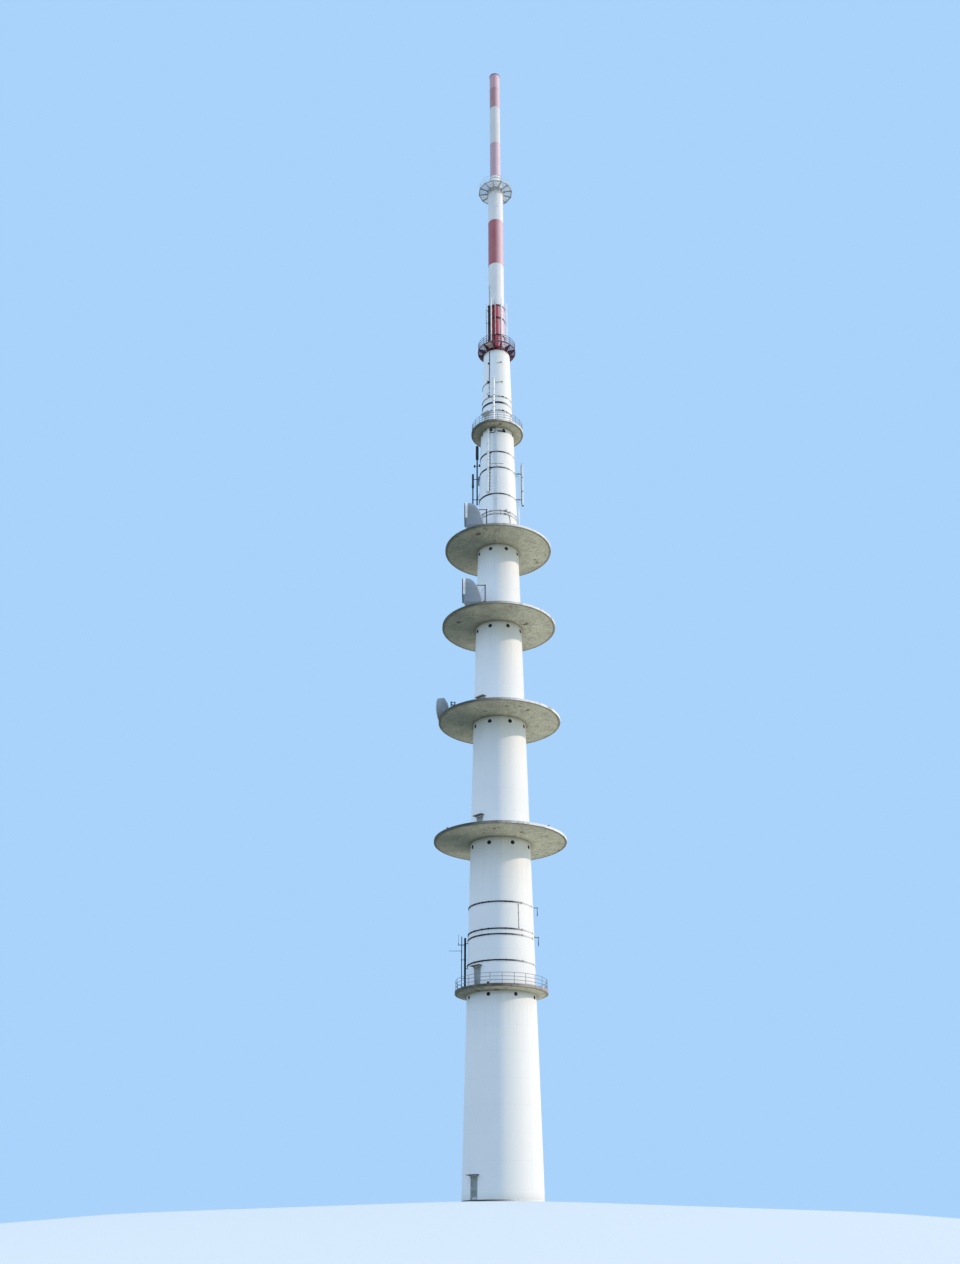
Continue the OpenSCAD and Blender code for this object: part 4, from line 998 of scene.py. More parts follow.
def make_wall_fittings():
    """Small fixed things on the wall: lines, boxes, saddles, a vent frame and two lamp brackets."""
    shape, pale = Shape(), Shape()

    def line(radius, off, *points):
        """A round bar along bearings and heights on the wall."""
        path = []
        for (b0, z0), (b1, z1) in zip(points, points[1:]):
            steps = max(1, int(abs(b1 - b0) / 5))
            path += [(b0 + (b1 - b0) * k / steps, z0 + (z1 - z0) * k / steps) for k in range(steps)]
        shape.tube([off_wall(b, z, off) for b, z in [*path, points[-1]]], radius)

    def case(into, bearing, z, wide, high, deep):
        """A shallow box with a lipped lid."""
        place = on_wall(bearing, z)
        into.box(wide, (-deep, 0.4), high, place).box(wide + 1, (-deep - 1.5, -deep), high + 1, place)

    line(1.9, 4, (43.6, 10034), (61.7, 10054))
    line(1.9, 4, (38.1, 9712), (68, 9732))
    for bearing, z in ((61.7, 10054), (63.6, 9729)):
        lamp = on_wall(bearing, z)
        shape.box(6, (-1.5, 0.6), 6, lamp).tube([(0, -1, 0), (0, -12, 2), (0, -19, 0)], 1.4, 8, lamp)
        shape.lathe([(0, -16.5), (4.5, -16.5), (6.2, -8), (4, -1), (0, 0)], 16, lamp @ moved(0, -20, 3))
    case(shape, 9.5, 10052, 10, 8, 12)
    case(shape, 9, 9740, 13, 12, 14)
    line(3, 5, (8.5, 9736), (-38, 9740), (-38.5, 9690))
    case(pale, 3, 9772, 7, 9, 10)
    case(pale, 2.5, 9564, 7, 9, 10)
    line(1.4, 3.4, (19.3, 8030), (19.3, 8604))
    for k in range(12):
        shape.sector(19.3, 2, 1, 8045 + 49.5 * k, 10, -0.3, 6.2)
    line(3.6, 6, (14.8, 8972), (14.8, 8906), (36.6, 8906), (36.6, 8972), (14.8, 8974))
    shape.sector(59, 29, 8, 8924, 7, -0.3, 6)
    shape.sector(43, 40, 12, 8424, 2, -0.3, 1.8)
    line(2.4, 4, (69.2, 7752), (76, 7700), (82.3, 7610), (82.3, 7300))
    line(1.8, 3, (76, 2589.2), (76, 2853))
    for k in range(4):
        shape.sector(76, 1.6, 1, 2603.2 + 76.6 * k, 1.5, -0.3, 5.6)
    piece("small_white_boxes", pale, "steel_white")
    piece("wall_lamp_and_conduit", shape, "dark_metal", finish="black_steel")


# Red steel gallery on top of the concrete


def make_steel_gallery():
    """Edge channel with splice plates, the grating and one closed panel in it."""
    top, foot, inner, lip = STEEL_FLOOR, STEEL_FLOOR - CHANNEL_H, 120.5, STEEL_R - 9
    edge = Shape().lathe([(STEEL_R, foot), (STEEL_R, top), (lip, top), (lip, top - 1.3),
                          (STEEL_R - 1.4, top - 1.3), (STEEL_R - 1.4, foot + 1.3), (lip, foot + 1.3),
                          (lip, foot)], 120)
    edge.ring((inner - 1.3, inner), (top - 10, top), 96)
    edge.ring((inner - 1, inner + 4.5), (top - 4.5, top - 3.4), 96)
    splice = Shape().box(10, (-1, 0.4), (2, 16)).nuts((-6, 6), -1, (5, 13), 1.6, 1.4)
    splices = around(splice, "gallery_red", 12, STEEL_R, foot, BEAM_TURN)
    piece("steel_gallery_edge", [edge, splices], "steel_red", "steel_gallery_floor", finish="gallery_red")
    grating = grown(BAR_GRATING, None, "grating_red", sides=12, first=BEAM_TURN, inner=inner,
                    outer=STEEL_R - 1.5, foot=top - 3.4, pitch=6, bar_width=0.5, bar_depth=3.2,
                    cross_pitch=15, gap=1.2)
    piece("steel_gallery_grating", grating, "steel_red", finish="grating_red")
    hatch = Shape().sector(BEAM_TURN + 15, 28, 12, top - 4.7, 0.9, 127.5, 240, axis)
    for radius in (150, 195, 230):
        hatch.sector(BEAM_TURN + 15, 27, 12, top - 6.1, 0.5, radius, radius + 2, axis)
    piece("steel_gallery_hatch", hatch, "steel_white", finish="hatch_cream")


def make_steel_gallery_beams():
    """Base plate with anchor bolts, the core's foot and twelve tapering beams with flanges."""
    z0, under = CONCRETE_TOP, STEEL_FLOOR - 6
    plate_r, tip, tip_z = wall_r(z0), STEEL_R - 6.2, STEEL_FLOOR - EDGE_H
    base = Shape().lathe([(0, z0 + 6), (CORE_R + 6, z0 + 6), (CORE_R + 6, z0 + 9), (CORE_R, z0 + 13),
                          (CORE_R, under), (0, under)], 96)
    plate = Shape().lathe([(0, z0), (plate_r - 1, z0), (plate_r, z0 + 1), (plate_r, z0 + 7),
                           (plate_r - 1, z0 + 8), (0, z0 + 8)], 96)
    piece("steel_gallery_plate", plate, "steel_white")
    anchor = Shape().rod(1.8, 0, 7.5, None, 8).bolt(None, 3.2, 3.6)
    anchors = around(anchor, "steel_red", 36, plate_r - 12, z0 + 8, BEAM_TURN + 5)
    # The core's foot takes the paler shell_red with its painted sunlight, painted light where the floor above
    # shades it.
    piece("steel_gallery_base", [base, anchors], "steel_red", finish="shell_red")
    root = plate_r - 34
    beam = Shape().plate(1.1, [(-root, z0 + 7), (-plate_r, z0 + 7), (-plate_r, z0 + 1), (-tip, tip_z),
                               (-tip, under + 2), (-root - 12, under + 2)])
    beam.loft([[(-4.5, y, z), (4.5, y, z), (4.5, y, z + 1.3), (-4.5, y, z + 1.3)]
               for y, z in ((0.5 - plate_r, z0 + 0.2), (-tip, tip_z))])
    beam.box(4.5, (-tip, -root - 12), (under + 0.8, under + 2.2))
    beam.box(1.2, (-root - 12, 1 - CORE_R), (under + 0.2, under + 2.2))
    for y in (-200, -228):
        low = z0 + (tip_z - z0) * (-y - plate_r) / (tip - plate_r)
        beam.box(4.3, (y - 0.6, y + 0.6), (low + 1, under + 1))
    beams = around(beam, "steel_red", 12, first=BEAM_TURN)
    piece("steel_gallery_beams", beams, "steel_red", "steel_gallery_brackets", finish="gallery_red")


def make_steel_gallery_railing():
    r = STEEL_R - 7.5
    rails = railing("gallery_red", r, STEEL_FLOOR, 3, 12)
    bars = around(Shape().rod(0.9, 0, 104, None, 6), "gallery_red", 96, r, STEEL_FLOOR + 2, 1.875)
    piece("steel_gallery_rails", [rails, bars], "steel_red", "steel_gallery_railing", finish="gallery_red")


# Red core in its cage of tubes


def make_core_fittings():
    """Bolt rings and gussets on the core's flanges, weld beads, cover plates and step bolts."""
    red, over, below = "steel_red", Shape().bolt(None, 2.6, 2.6), Shape().bolt(FACE_DOWN, 2.6, 2.6)
    rib = Shape().plate(0.8, [(1 - CORE_R, 0), (3 - FLANGE_R, 0), (3 - FLANGE_R, 2), (-CORE_R - 2, 20),
                              (1 - CORE_R, 20)])
    rings, beads, plates, rims = [], Shape(), Shape(), Shape()
    for z in FLANGE_Z:
        rings.append(around(over, red, 24, 105, z + FLANGE_T, 7.5))
        rings.append(around(rib, red, 12, height=z + FLANGE_T - 0.2))
        if z > FLANGE_Z[0]:
            rings.append(around(below, red, 24, 105, z, 7.5))
            # Black rims over the flange edges: partly dark steel at the joint, partly painted shade for the
            # dark line under each flange.
            rims.ring((FLANGE_R - 4, FLANGE_R + 0.4), (z - 1, z + 9), 96)
    for z in (*FLANGE_Z[1:], 10700, 10960):
        beads.hoop(CORE_R, z - 0.6, 1.1, 72, 6)
    levels = (STEEL_FLOOR + 0.5, *(z for low in FLANGE_Z for z in (low - 1.5, low + FLANGE_T + 20.5)))
    for low, high in zip(levels[::2], levels[1::2]):
        width = 39.9 if low < FLANGE_Z[0] else 33
        for k in range(9):
            plates.sector(51 + 40 * k, width, 10, (low + high) / 2, (high - low) / 2, 108.5, 111, axis)
    piece("core_cover_plates", plates, red)
    step = Shape().tube([(0, 1, 0), (0, -12, 0), (0, -12.6, 2.2)], 1, 6)
    rows = [in_row(step, red, 17, out_at(b, 110.8, z), out_at(b, 110.8, z + 630), b)
            for b, z in ((76, 10400), (88, 10420))]
    piece("core_bolts_and_ribs", [beads, *rings, *rows], red)
    piece("core_flange_rims", rims, "dark_metal", finish="black_steel")


def make_cage_fittings():
    """Foot plates, sleeves, clamps and caps on the white cage tubes."""
    r, top = CAGE_D / 2, CAGE_TOP - STEEL_FLOOR
    part = Shape().lathe([(0, 0), (r + 6, 0), (r + 6, 1.6), (r + 1.5, 2), (r, 5), (0, 5)], 20)
    for z in (300, 620):
        part.lathe([(-1, -12), (1.2, -12), (1.8, -10), (1.8, 10), (1.2, 12), (-1, 12)], 16, about=(r, z))
    part.lathe([(r - 1, -12), (r + 1.4, -12), (r + 1.4, -1), (r, 0.6), (r - 2, 2.2), (0, 2.6)], 16,
               about=(0, top))
    for z in (flange - STEEL_FLOOR for flange in FLANGE_Z[1:]):
        part.lathe([(-1, -1), (2.2, -1), (2.2, 9), (-1, 9)], 16, about=(r, z))
        for side in (-1, 1):
            x = side * (r + 2.2)
            part.box((x, x + side * 5), 1.2, (z, z + 8)).nuts((x + side * 2.8,), -1.2, (z + 4,), 1.3, 1.2)
    for x, y in circle(4, r + 3.5, 45):
        part.bolt(moved(x, y, 1.6), 1.1, 1.2)
    fittings = around(part, "duct_white", 6, CAGE_R, STEEL_FLOOR, CAGE_TURN)
    piece("cage_tube_fittings", fittings, "steel_white", finish="duct_white")


def make_feeders():
    """Dark cables on a tray beside the core, a slim riser and the pipe on the wide cylinder."""
    z0, z1, y, place = STEEL_FLOOR, RADOME_FOOT, -FLANGE_R - 0.4, turned(TRAY_BEARING)
    tray, cables = Shape().box(13, (y - 1.4, y), (z0, z1), place), Shape()
    for x in (-1, 1):
        tray.box((x * 13, x * 11.8), (y - 11, y - 1.4), (z0, z1), place)
    for row, count in ((0, 5), (1, 4)):
        for k in range(count):
            cables.rod(2.1, z0 + 1, z1 - 10, place @ moved((k - (count - 1) / 2) * 4.6, y - 3.8 - row * 4.2),
                       10)
    cables.box(13, (y - 18, y - 1), (z1 - 24, z1), place)
    cables.box(13.6, (y - 18.6, y - 1), (z1 - 3.5, z1 - 1.5), place)
    clamp = Shape().box(13.2, (-12.8, -10.4), 2.2).nuts((-11, 11), -12.8, (0,), 1.2, 1.2)
    ends = [out_at(TRAY_BEARING, -y, z) for z in (z0 + 45, z1 - 60)]
    clamps = in_row(clamp, "dark_metal", 12, *ends, TRAY_BEARING)
    piece("feeder_cable_tray", [tray, cables, clamps], "dark_metal", "feeder_lines")
    riser = turned(36) @ moved(0, -FLANGE_R - 5.2)
    slim = Shape().rod(4.6, FLANGE_Z[1], 11190, riser, 14)
    for z in (10590, 10720, 10866, 10960, 11050, 11170):
        slim.rod(5.8, z - 5, z + 5, riser, 14)
    slim.lathe([(0, 11188), (6, 11188), (5.2, 11191.5), (0, 11193)], 14, riser)
    for z in FLANGE_Z[1:]:
        slim.box(7.5, (-1.8, 6.5), (z + 1, z + 7), riser)
    piece("core_riser", slim, "galvanised")
    y, top = -RADOME_R, z1 + 378
    pipe = Shape().tube([(0, y - 4.2, z1), (0, y - 4.2, top - 16), (0, y - 3, top - 7.5),
                         (0, y + 1, top - 4.5)],
                        3.6, 12, place)
    for z in (z1 + 20 + 78 * k for k in range(5)):
        pipe.box(7, (y - 8.6, y + 1), (z - 3, z + 3), place)
    piece("radome_foot_pipe", pipe, "galvanised")


# Antenna cylinders, ring gallery, cone and cap


def make_cylinder_joints():
    """Lap joints with bolt rows on the wide and the slim cylinder."""
    bolt = Shape().bolt(FACE_OUT, 1.4, 1.1)
    lap = [(-0.6, -4.5), (0.36, -4.5), (0.9, -3.7), (0.9, 3.7), (0.36, 4.5), (-0.6, 4.5)]
    for name, slot, radius, levels, count in (
            ("wide_white_joints", "shell_white", RADOME_R, (11106, 11470, 11836, 12658, 12930, 13204), 36),
            ("wide_red_joints", "shell_red", RADOME_R, (11848, 12164, 12646), 36),
            ("slim_white_joints", "shell_white", SLIM_R, (14213, 14585, 14956), 28),
            ("slim_red_joints", "shell_red", SLIM_R, (13545, 13873, 14201, 14968, 15372, 15654), 28)):
        parts = []
        for z in levels:
            parts.append(Shape().lathe(lap, 96, about=(radius, z)))
            parts.append(around(bolt, slot, count, radius + 0.8, z, 180 / count))
        piece(name, parts, slot)
    lugs = Shape()
    for k in range(3):
        place = turned(57 + 120 * k) @ moved(0, -RADOME_R, 12902)
        lugs.box(1.4, (-9, 0.6), 5, place).box(5, (-1, 0.6), 6.5, place)
    piece("lifting_lugs", lugs, "galvanised")


def make_ring_gallery():
    """See-through grating, railing, knee plates and bolts of the twelve-sided gallery."""
    z0, rail_r, flat = RING_FLOOR, RING_R - 11.5, RING_R * math.cos(math.pi / 12)
    grating = grown(BAR_GRATING, None, "galvanised", sides=12, first=RING_TURN, inner=HUB_R + 1.6, outer=flat,
                    foot=z0 - 3, pitch=4.5, bar_width=1.3, bar_depth=0.8, cross_pitch=6.5, gap=0.4)
    band = Shape()
    for k in range(12):
        for r in (RING_R - 0.6, HUB_R + 1.2):
            band.sector(RING_TURN + 15 + 30 * k, 30, 1, z0 - 1.5, 1.5, r - 0.5, r + 0.5, axis)
    piece("ring_gallery_bars", [grating, band], "galvanised", "ring_gallery_grating")
    rails = railing("galvanised", rail_r, z0, 2, 12, 12, 3.6, RING_TURN)
    kick = Shape().ring((rail_r, rail_r + 1), (z0, z0 + 9), 12, turned(RING_TURN - 90))
    piece("ring_gallery_rails", [rails, kick], "galvanised", "ring_gallery_railing")
    knee = Shape().plate(0.9, [(1 - HUB_R, 0), (-HUB_R - 30, 0), (-HUB_R - 30, -2), (1 - HUB_R, -28)])
    knee.box(6, (-HUB_R - 1.2, 1 - HUB_R), (-34, -1)).nuts((-3.6, 3.6), -HUB_R - 1.2, (-30, -6), 1.2, 1.1)
    strips = Shape().box(6, (2 - RING_R, -HUB_R), (-1.2, 0.8))
    strips.box(RING_R * math.sin(math.pi / 12) - 1, (1 - flat, 9.5 - flat), (-1.2, 0.8), turned(15))
    corner, y = Shape(), (4 - RING_R, 16 - RING_R)
    corner.box(10, y, (11.8, 12.2))
    for x in (-6, 6):
        corner.bolt(moved(x, 10 - RING_R) @ FACE_DOWN, 1.4, 1.4)
    corner.box(10, y, (-1, 0.4))
    made = ((knee, "galvanised"), (corner, "galvanised"), (strips, "flange_grey"))
    knees, corners, strips = (around(part, finish, 12, height=RING_FRAME_Z, first=RING_TURN)
                              for part, finish in made)
    piece("ring_gallery_flanges", strips, "galvanised", finish="flange_grey")
    piece("ring_gallery_knees", [knees, corners], "galvanised")


def make_cone_fittings():
    """Ribs under the top flange, bolt rings, seams and a hatch on the cone."""
    white, foot, top = "steel_white", CONE_FOOT, CONE_TOP
    slope = (CONE_R - SLIM_R) / (top - foot)

    def cone_r(z):
        return CONE_R - slope * (z - foot)

    low_r = cone_r(top - 30)
    rib = Shape().plate(0.8, [(-SLIM_R - 0.2, 0), (-83, 0), (-83, -1.5), (-low_r - 0.2, -30),
                              (3 - low_r, -30), (3 - SLIM_R, 0)])
    rings = [around(Shape().bolt(None, 2, 2), white, 20, 79.7, top + 10, 9),
             around(Shape().bolt(FACE_DOWN, 2, 2), white, 20, 80, top + 0.2, 9),
             around(rib, white, 10, height=top + 0.4)]
    shape = Shape()
    for z in (foot + 78, foot + 150):
        shape.hoop(cone_r(z), z, 0.9, 72, 6)
    for bearing in (30, 120, 210, 300):
        shape.tube([out_at(bearing, cone_r(z) - 0.2, z) for z in (foot + 1, top - 1)], 0.8, 6)
    hatch = turned(70) @ moved(0, -cone_r(foot + 55), foot + 55) @ tilted(-math.degrees(math.atan(slope)))
    shape.loft([[(x, -y, z) for x, z in rounded(-20 + e, -24 + e, 20 - e, 24 - e, 8)]
                for y, e in ((-6, 0), (2.4, 0), (3, 0.8))], hatch)
    shape.nuts((-16, 16), -2.8, (-19, 0, 19), 1.1, 1, hatch)
    piece("cone_ribs_and_hatch", [shape, *rings], white)


def make_cap():
    """The lipped cap with two warning lamps and the lightning rod."""
    z, top, glass = SLIM_TOP, SLIM_TOP + 12, Shape()
    cap = Shape().lathe([(0, z), (77, z), (79, z + 0.8), (79, z + 9.5), (78.2, z + 10.5), (74, top),
                         (0, top)], 96)
    for lamp in (moved(-SLIM_R / 2, 0, top), moved(SLIM_R / 2, 0, top)):
        cap.lathe([(0, 0), (9, 0), (9, 2.2), (7.8, 3), (7.8, 7.5), (0, 7.5)], 24, lamp)
        for x, y in circle(4, 8.6, 45):
            cap.tube([(x, y, 3), (x, y, 26), (x * 0.5, y * 0.5, 31), (0, 0, 31.5)], 0.4, 6, lamp)
        glass.lathe([(0, 7), (7, 7), (7.2, 24), (6, 28), (3, 30.2), (0, 30.8)], 24, lamp)
    rod = moved(0, SLIM_R / 3, top)
    cap.lathe([(0, 0), (8.5, 0), (8.5, 2), (4, 4), (2.5, 12), (1.8, 12.5), (1.4, 80), (0.2, 90), (0, 90)], 14,
              rod)
    for x, y in circle(3, 16, 90):
        cap.tube([(0, 0, 46), (x, y, 0)], 0.6, 6, rod)
    for x, y in circle(10, 70, 18):
        cap.bolt(moved(x, y, top), 1.8, 1.8)
    piece("mast_cap_and_rod", cap, "dark_metal", "mast_cap")
    piece("warning_lamp_glass", glass, "dark_metal", finish="lamp_glass")


# Antennas on the platforms


def shell_place(level):
    """The middle of a shell's back on its platform, clear of the canopy over the door."""
    z, out, turn = FLOORS[level], SHELL_OUT[level], math.radians(-SHELL_BEARING)
    clear = wall_r(z + DOOR_H) + CANOPY_OUT + 8
    side = (clear - out * math.cos(turn)) / math.sin(turn) + SHELL_HALF
    return turned(SHELL_BEARING) @ moved(side, -out, z)


def shell_back(h):
    """Depth of the curved back at a height."""
    share = h / SHELL_HIGH
    for (d0, h0), (d1, h1) in zip(SHELL_BACK, SHELL_BACK[1:]):
        if share <= h1:
            return (d0 + (d1 - d0) * (share - h0) / (h1 - h0)) * SHELL_MOUTH
    return SHELL_MOUTH


def shell_half(h):
    """Half the width at a height: the foot, the upright sides and the round arch."""
    if h > SHELL_WALL:
        return math.sqrt(max(0, SHELL_HALF ** 2 - (h - SHELL_WALL) ** 2))
    return min(SHELL_HALF, SHELL_FOOT_W / 2 + (SHELL_HALF - SHELL_FOOT_W / 2) * h / (MOUTH_Z / 2))


def shell_section(h, grow=0):
    """The outline at a height, its back corners well rounded; the front runs out from throat to mouth."""
    lip = min(1, max(0, (h - MOUTH_Z + SETBACK) / SETBACK))
    front = SHELL_DEPTH - SETBACK + (SETBACK - COVER_T) * lip + min(grow, 0.4)
    half, back = shell_half(h) + grow, shell_back(h) - grow
    most = min(half, (front - back) / 2) * 0.96
    corners = [min(r, most) for r in (3, 3, 22, 22)]
    return [(x, y, h) for x, y in rounded(-half, -front, half, -back, corners)]


def arch(grow, low, depth):
    """The outline of the mouth, seen from the front: upright sides under a round top."""
    half = SHELL_HALF + grow
    turn = [math.pi * k / 32 for k in range(33)]
    outline = [(-half, low), (half, low)] + [(half * math.cos(a), SHELL_WALL + half * math.sin(a))
                                             for a in turn]
    return [(x, h, SHELL_MOUTH + depth) for x, h in outline]


def make_shells():
    """Shell antennas: lofted body, pale mouth flange, dark cover with its studs, foot frame."""
    heights = sorted({0, 4, MOUTH_Z / 2, MOUTH_Z - SETBACK, MOUTH_Z, SHELL_WALL, SHELL_HIGH - 0.25}
                     | {share * SHELL_HIGH for _, share in SHELL_BACK[1:-1]} | {22 * k for k in range(1, 15)}
                     | {SHELL_WALL + SHELL_HALF * math.sin(math.radians(6 * k)) for k in range(1, 15)})
    heights = [h for before, h in zip([-1, *heights], heights) if h - before > 0.3]
    bodies, flanges, covers, studs = Shape(), Shape(), Shape(), []
    for place in map(shell_place, SHELL_OUT):
        front = place @ FACE_OUT
        bodies.loft([shell_section(h) for h in heights], place)
        for h in (44, 262):
            bodies.loft([shell_section(h + up, g) for up, g in ((-3, -1), (-3, 1.2), (3, 1.2), (3, -1))],
                        place)
        for shape, rings in (
                (flanges, ((0.2, -26), (2, -25.5), (2, -22.5), (1, -21.5), (1, -3), (2.4, -2.2), (2.4, 0.6),
                           (1, 1))),
                (covers, ((-0.4, 0.8), (-0.4, 8.5), (-3, 11.2), (-12, 12.4), (-45, 13)))):
            shape.loft([arch(g, MOUTH_Z - g, depth) for g, depth in rings], front)
        line = bpy.data.meshes.new("stud_line")
        points = [tuple(front @ Vector(p)) for p in arch(-6.5, MOUTH_Z + 6.5, 10.8)]
        line.from_pydata(points, [(i, (i + 1) % len(points)) for i in range(len(points))], [])
        studs.append(grown(STUDS_ON_PATH, line, "galvanised", spacing=30, stud_radius=1.6, stud_height=2.4,
                           bearing=SHELL_BEARING))
        covers.prism([(x * 1.04, y) for x, y, _ in shell_section(0)], 0, 5.5, place)
        for x in (-50, 50):
            for y in (-85, -190):
                covers.box((x - 12, x + 12), (y - 8, y + 8), (0, 3), place)
                covers.bolt(place @ moved(x + math.copysign(8, x), y, 3), 2.2, 2.2)
    piece("shell_bodies", bodies, "dish_white", "shell_platform_3", "shell_platform_4", angle=26)
    piece("shell_mouth_flanges", flanges, "shell_white")
    piece("shell_covers_and_feet", covers, "dark_metal")
    piece("shell_cover_studs", studs, "galvanised")


def dish_back(r):
    """Depth of the dish's hollow back at a radius."""
    return DISH_BACK * (r / DISH_R) ** 2


def make_dish():
    """The small dish: deep shroud with beads, bulging cover in a clamp ring, ribbed back and hub."""
    place = turned(DISH_BEARING) @ moved(DISH_SIDE, -DISH_OUT, FLOORS["platform_2"] + DISH_RISE) @ FACE_OUT
    rim, front, hub = DISH_R, DISH_BACK + DISH_SHROUD, 25
    back = [(r, dish_back(r)) for r in (hub + (rim - 27) * k / 10 for k in range(11))]
    dish = Shape().lathe([(0, 0), *back, (rim - 1.5, DISH_BACK - 0.8), (rim, DISH_BACK + 1),
                          (rim, front - 10), (rim - 3, front), (0, front)], 72, place)
    for z in (DISH_BACK + 3, DISH_BACK + 30):
        dish.hoop(rim - 0.4, z, 1.4, 72, 8, place)
    piece("small_dish_shroud", dish, "dish_white", "dish_platform_2")
    bulge = [(rim * 0.975 * share, front + DISH_FRONT * (1 - share ** 2))
             for share in (1 - k / 10 for k in range(11))]
    cover = Shape().lathe([(0, front - 4), (rim - 4, front - 4), *bulge], 72, place)
    piece("small_dish_cover", cover, "shell_white")
    ring = Shape().lathe([(-2, -8.5), (1.6, -8.5), (1.6, 0.5), (-5, 1.6), (-5, -1)], 72, place, (rim, front))
    deep = dish_back(hub) + 3
    ring.lathe([(0, -8), (22, -8), (hub, -6), (hub, deep), (0, deep)], 36, place)
    for x, y in circle(6, 17.5, 30):
        ring.bolt(place @ moved(x, y, -8) @ FACE_DOWN, 1.9, 1.8)
    side = [(20, -4), (40, -3.5), (rim - 12, dish_back(rim - 12) - 7.5), (rim - 8, dish_back(rim - 8) + 1),
            (20, 3)]
    for k in range(8):
        ring.loft([[(r, w, z) for r, z in side] for w in (-1.2, 1.2)], place @ turned(45 * k + 22.5))
    for k in range(16):
        ring.bolt(place @ turned(22.5 * k) @ moved(rim + 1.4, 0, front - 4) @ LYING, 1.4, 1.4)
    piece("small_dish_ring_and_ribs", ring, "galvanised")


def post_foot(shape, place, r):
    """A bolted base plate with four stiffeners around a post."""
    shape.pad(r + 12, r + 12, (0, 2.5), 3, place)
    stiffener, out = [(1 - r, 2), (-r - 10, 2), (-r - 10, 4.5), (-r - 1, 20), (1 - r, 20)], r + 7.5
    for k, (x, y) in enumerate(((out, out), (-out, out), (-out, -out), (out, -out))):
        shape.plate(0.9, stiffener, place @ turned(90 * k)).bolt(place @ moved(x, y, 2.5), 2.1, 2.2)


def pipe_clamp(shape, place, r):
    """A two-part clamp around an upright pipe."""
    shape.rod(r + 1.8, -4.5, 4.5, place)
    for x in (-1, 1):
        shape.box((x * (r + 1), x * (r + 7)), 3, 4, place).nuts((x * (r + 4.4),), -3, (0,), 1.6, 1.6, place)


def wall_foot(shape, bearing, z, wide=12, high=16):
    """A bolted plate on the wall that carries an arm."""
    place, x, h = on_wall(bearing, z), wide * 0.66, high * 0.66
    shape.pad(wide, high, (-0.6, 1.8), 2, place @ FACE_OUT).nuts((-x, x), -1.8, (-h, h), 1.7, 1.6, place)


def make_posts():
    """Posts with base plates, caps, clamps and struts behind the dish and the two shells."""
    shape, r, rise = Shape(), 6, DISH_RISE
    back = turned(DISH_BEARING) @ moved(DISH_SIDE, 8 - DISH_OUT, FLOORS["platform_2"])
    post = back @ moved(0, 26)
    shape.rod(r, 1, rise + 94, post).rod(r + 1, rise + 90, rise + 94.5, post)
    post_foot(shape, post, r)
    shape.rod(9.5, rise - 12.5, rise + 12.5, post).box(11, (-0.5, 21.5), (rise - 11, rise + 11), back)
    shape.box(12.5, (-1, 2), (rise - 12.5, rise + 12.5), back)
    shape.rod(5, 1, rise + 94, back @ moved(-11.7, 69.5), 12)
    for low, high in ((86, 86), (74, 14), (14, 74), (4, 4)):
        shape.tube([(0, 26, rise + low), (-11.7, 69.5, rise + high)], 4.8, 8, back)
    for x in (-75, 75):
        shape.tube([(0, 0, rise + 45), (x * 0.5, 30, rise * 0.55), (x, 60, 4)], 2.2, 8, post)
        shape.box((x - 8, x + 8), (52, 68), (0, 2.5), post)
    for back in map(shell_place, SHELL_OUT):
        post = back @ moved(0, 26)
        shape.rod(r, 1, 370, post).rod(r + 1, 366, 370.5, post)
        post_foot(shape, post, r)
        for h in (136.8, 366):
            reach = shell_back(h)
            pipe_clamp(shape, post @ moved(z=h), r)
            shape.box(4, (0.5 - reach, 22), (h - 3.2, h + 3.2), back)
            shape.box(13, (-1.5, 1.8), 10, back @ moved(0, -reach, h))
        shape.tube([(0, -4, 340), (0, 1 - shell_back(262), 262)], 1.8, 8, post @ moved(0, -2))
    piece("antenna_posts", shape, "dark_metal", "dish_posts", finish="black_steel")


def make_left_antennas():
    """Mast pipe with a thick whip and a slim rod on two braced arms."""
    shape, turn, z0 = Shape(), turned(LEFT), FLOORS["platform_4"] + 663
    z1, pipe_r = z0 + 676, wall_r(z0) + 27
    rod_r = pipe_r + 53
    pipe, rod = turn @ moved(0, -pipe_r), turn @ moved(0, -rod_r)
    shape.rod(9, z0, z1, pipe).rod(10, z0 - 0.4, z0 + 6, pipe)
    shape.lathe([(0, -4), (8.5, -4), (10, 4), (18.5, 10), (18.5, 205), (10, 212.5), (4, 215), (0, 215)], 20,
                pipe, (0, z1))
    for z in (z1 + 60, z1 + 125):
        shape.rod(19.2, z - 3, z + 3, pipe, 20)
    shape.rod(8, z0, z0 + 250, rod, 12).rod(12.5, z0 + 250, z0 + 456, rod).rod(14.5, z0 + 255, z0 + 290, rod)
    shape.rod(7.5, 8235, 8370, turn @ moved(0, -wall_r(8300) - 13), 12)
    for out, z in ((72, 8528), (10, 8540)):
        shape.box(9, 10, 14, turn @ moved(0, -wall_r(z) - out, z))
    wall = -wall_r(8530)
    shape.box(2.5, (wall - 66, wall + 1), (8526, 8532), turn)
    for z in (8025, 8330):
        shape.box(3.2, (-rod_r - 2, -wall_r(z) - 0.5), (z - 3.2, z + 3.2), turn)
        wall_foot(shape, LEFT, z)
        pipe_clamp(shape, pipe @ moved(z=z), 9)
        pipe_clamp(shape, rod @ moved(z=z), 8)
    shape.tube([(0, 4 - pipe_r, 8030), (0, 1 - wall_r(8100), 8110)], 2.2, 8, turn)
    piece("left_pipes_and_rods", shape, "dark_metal", "left_side_antennas", finish="black_steel")


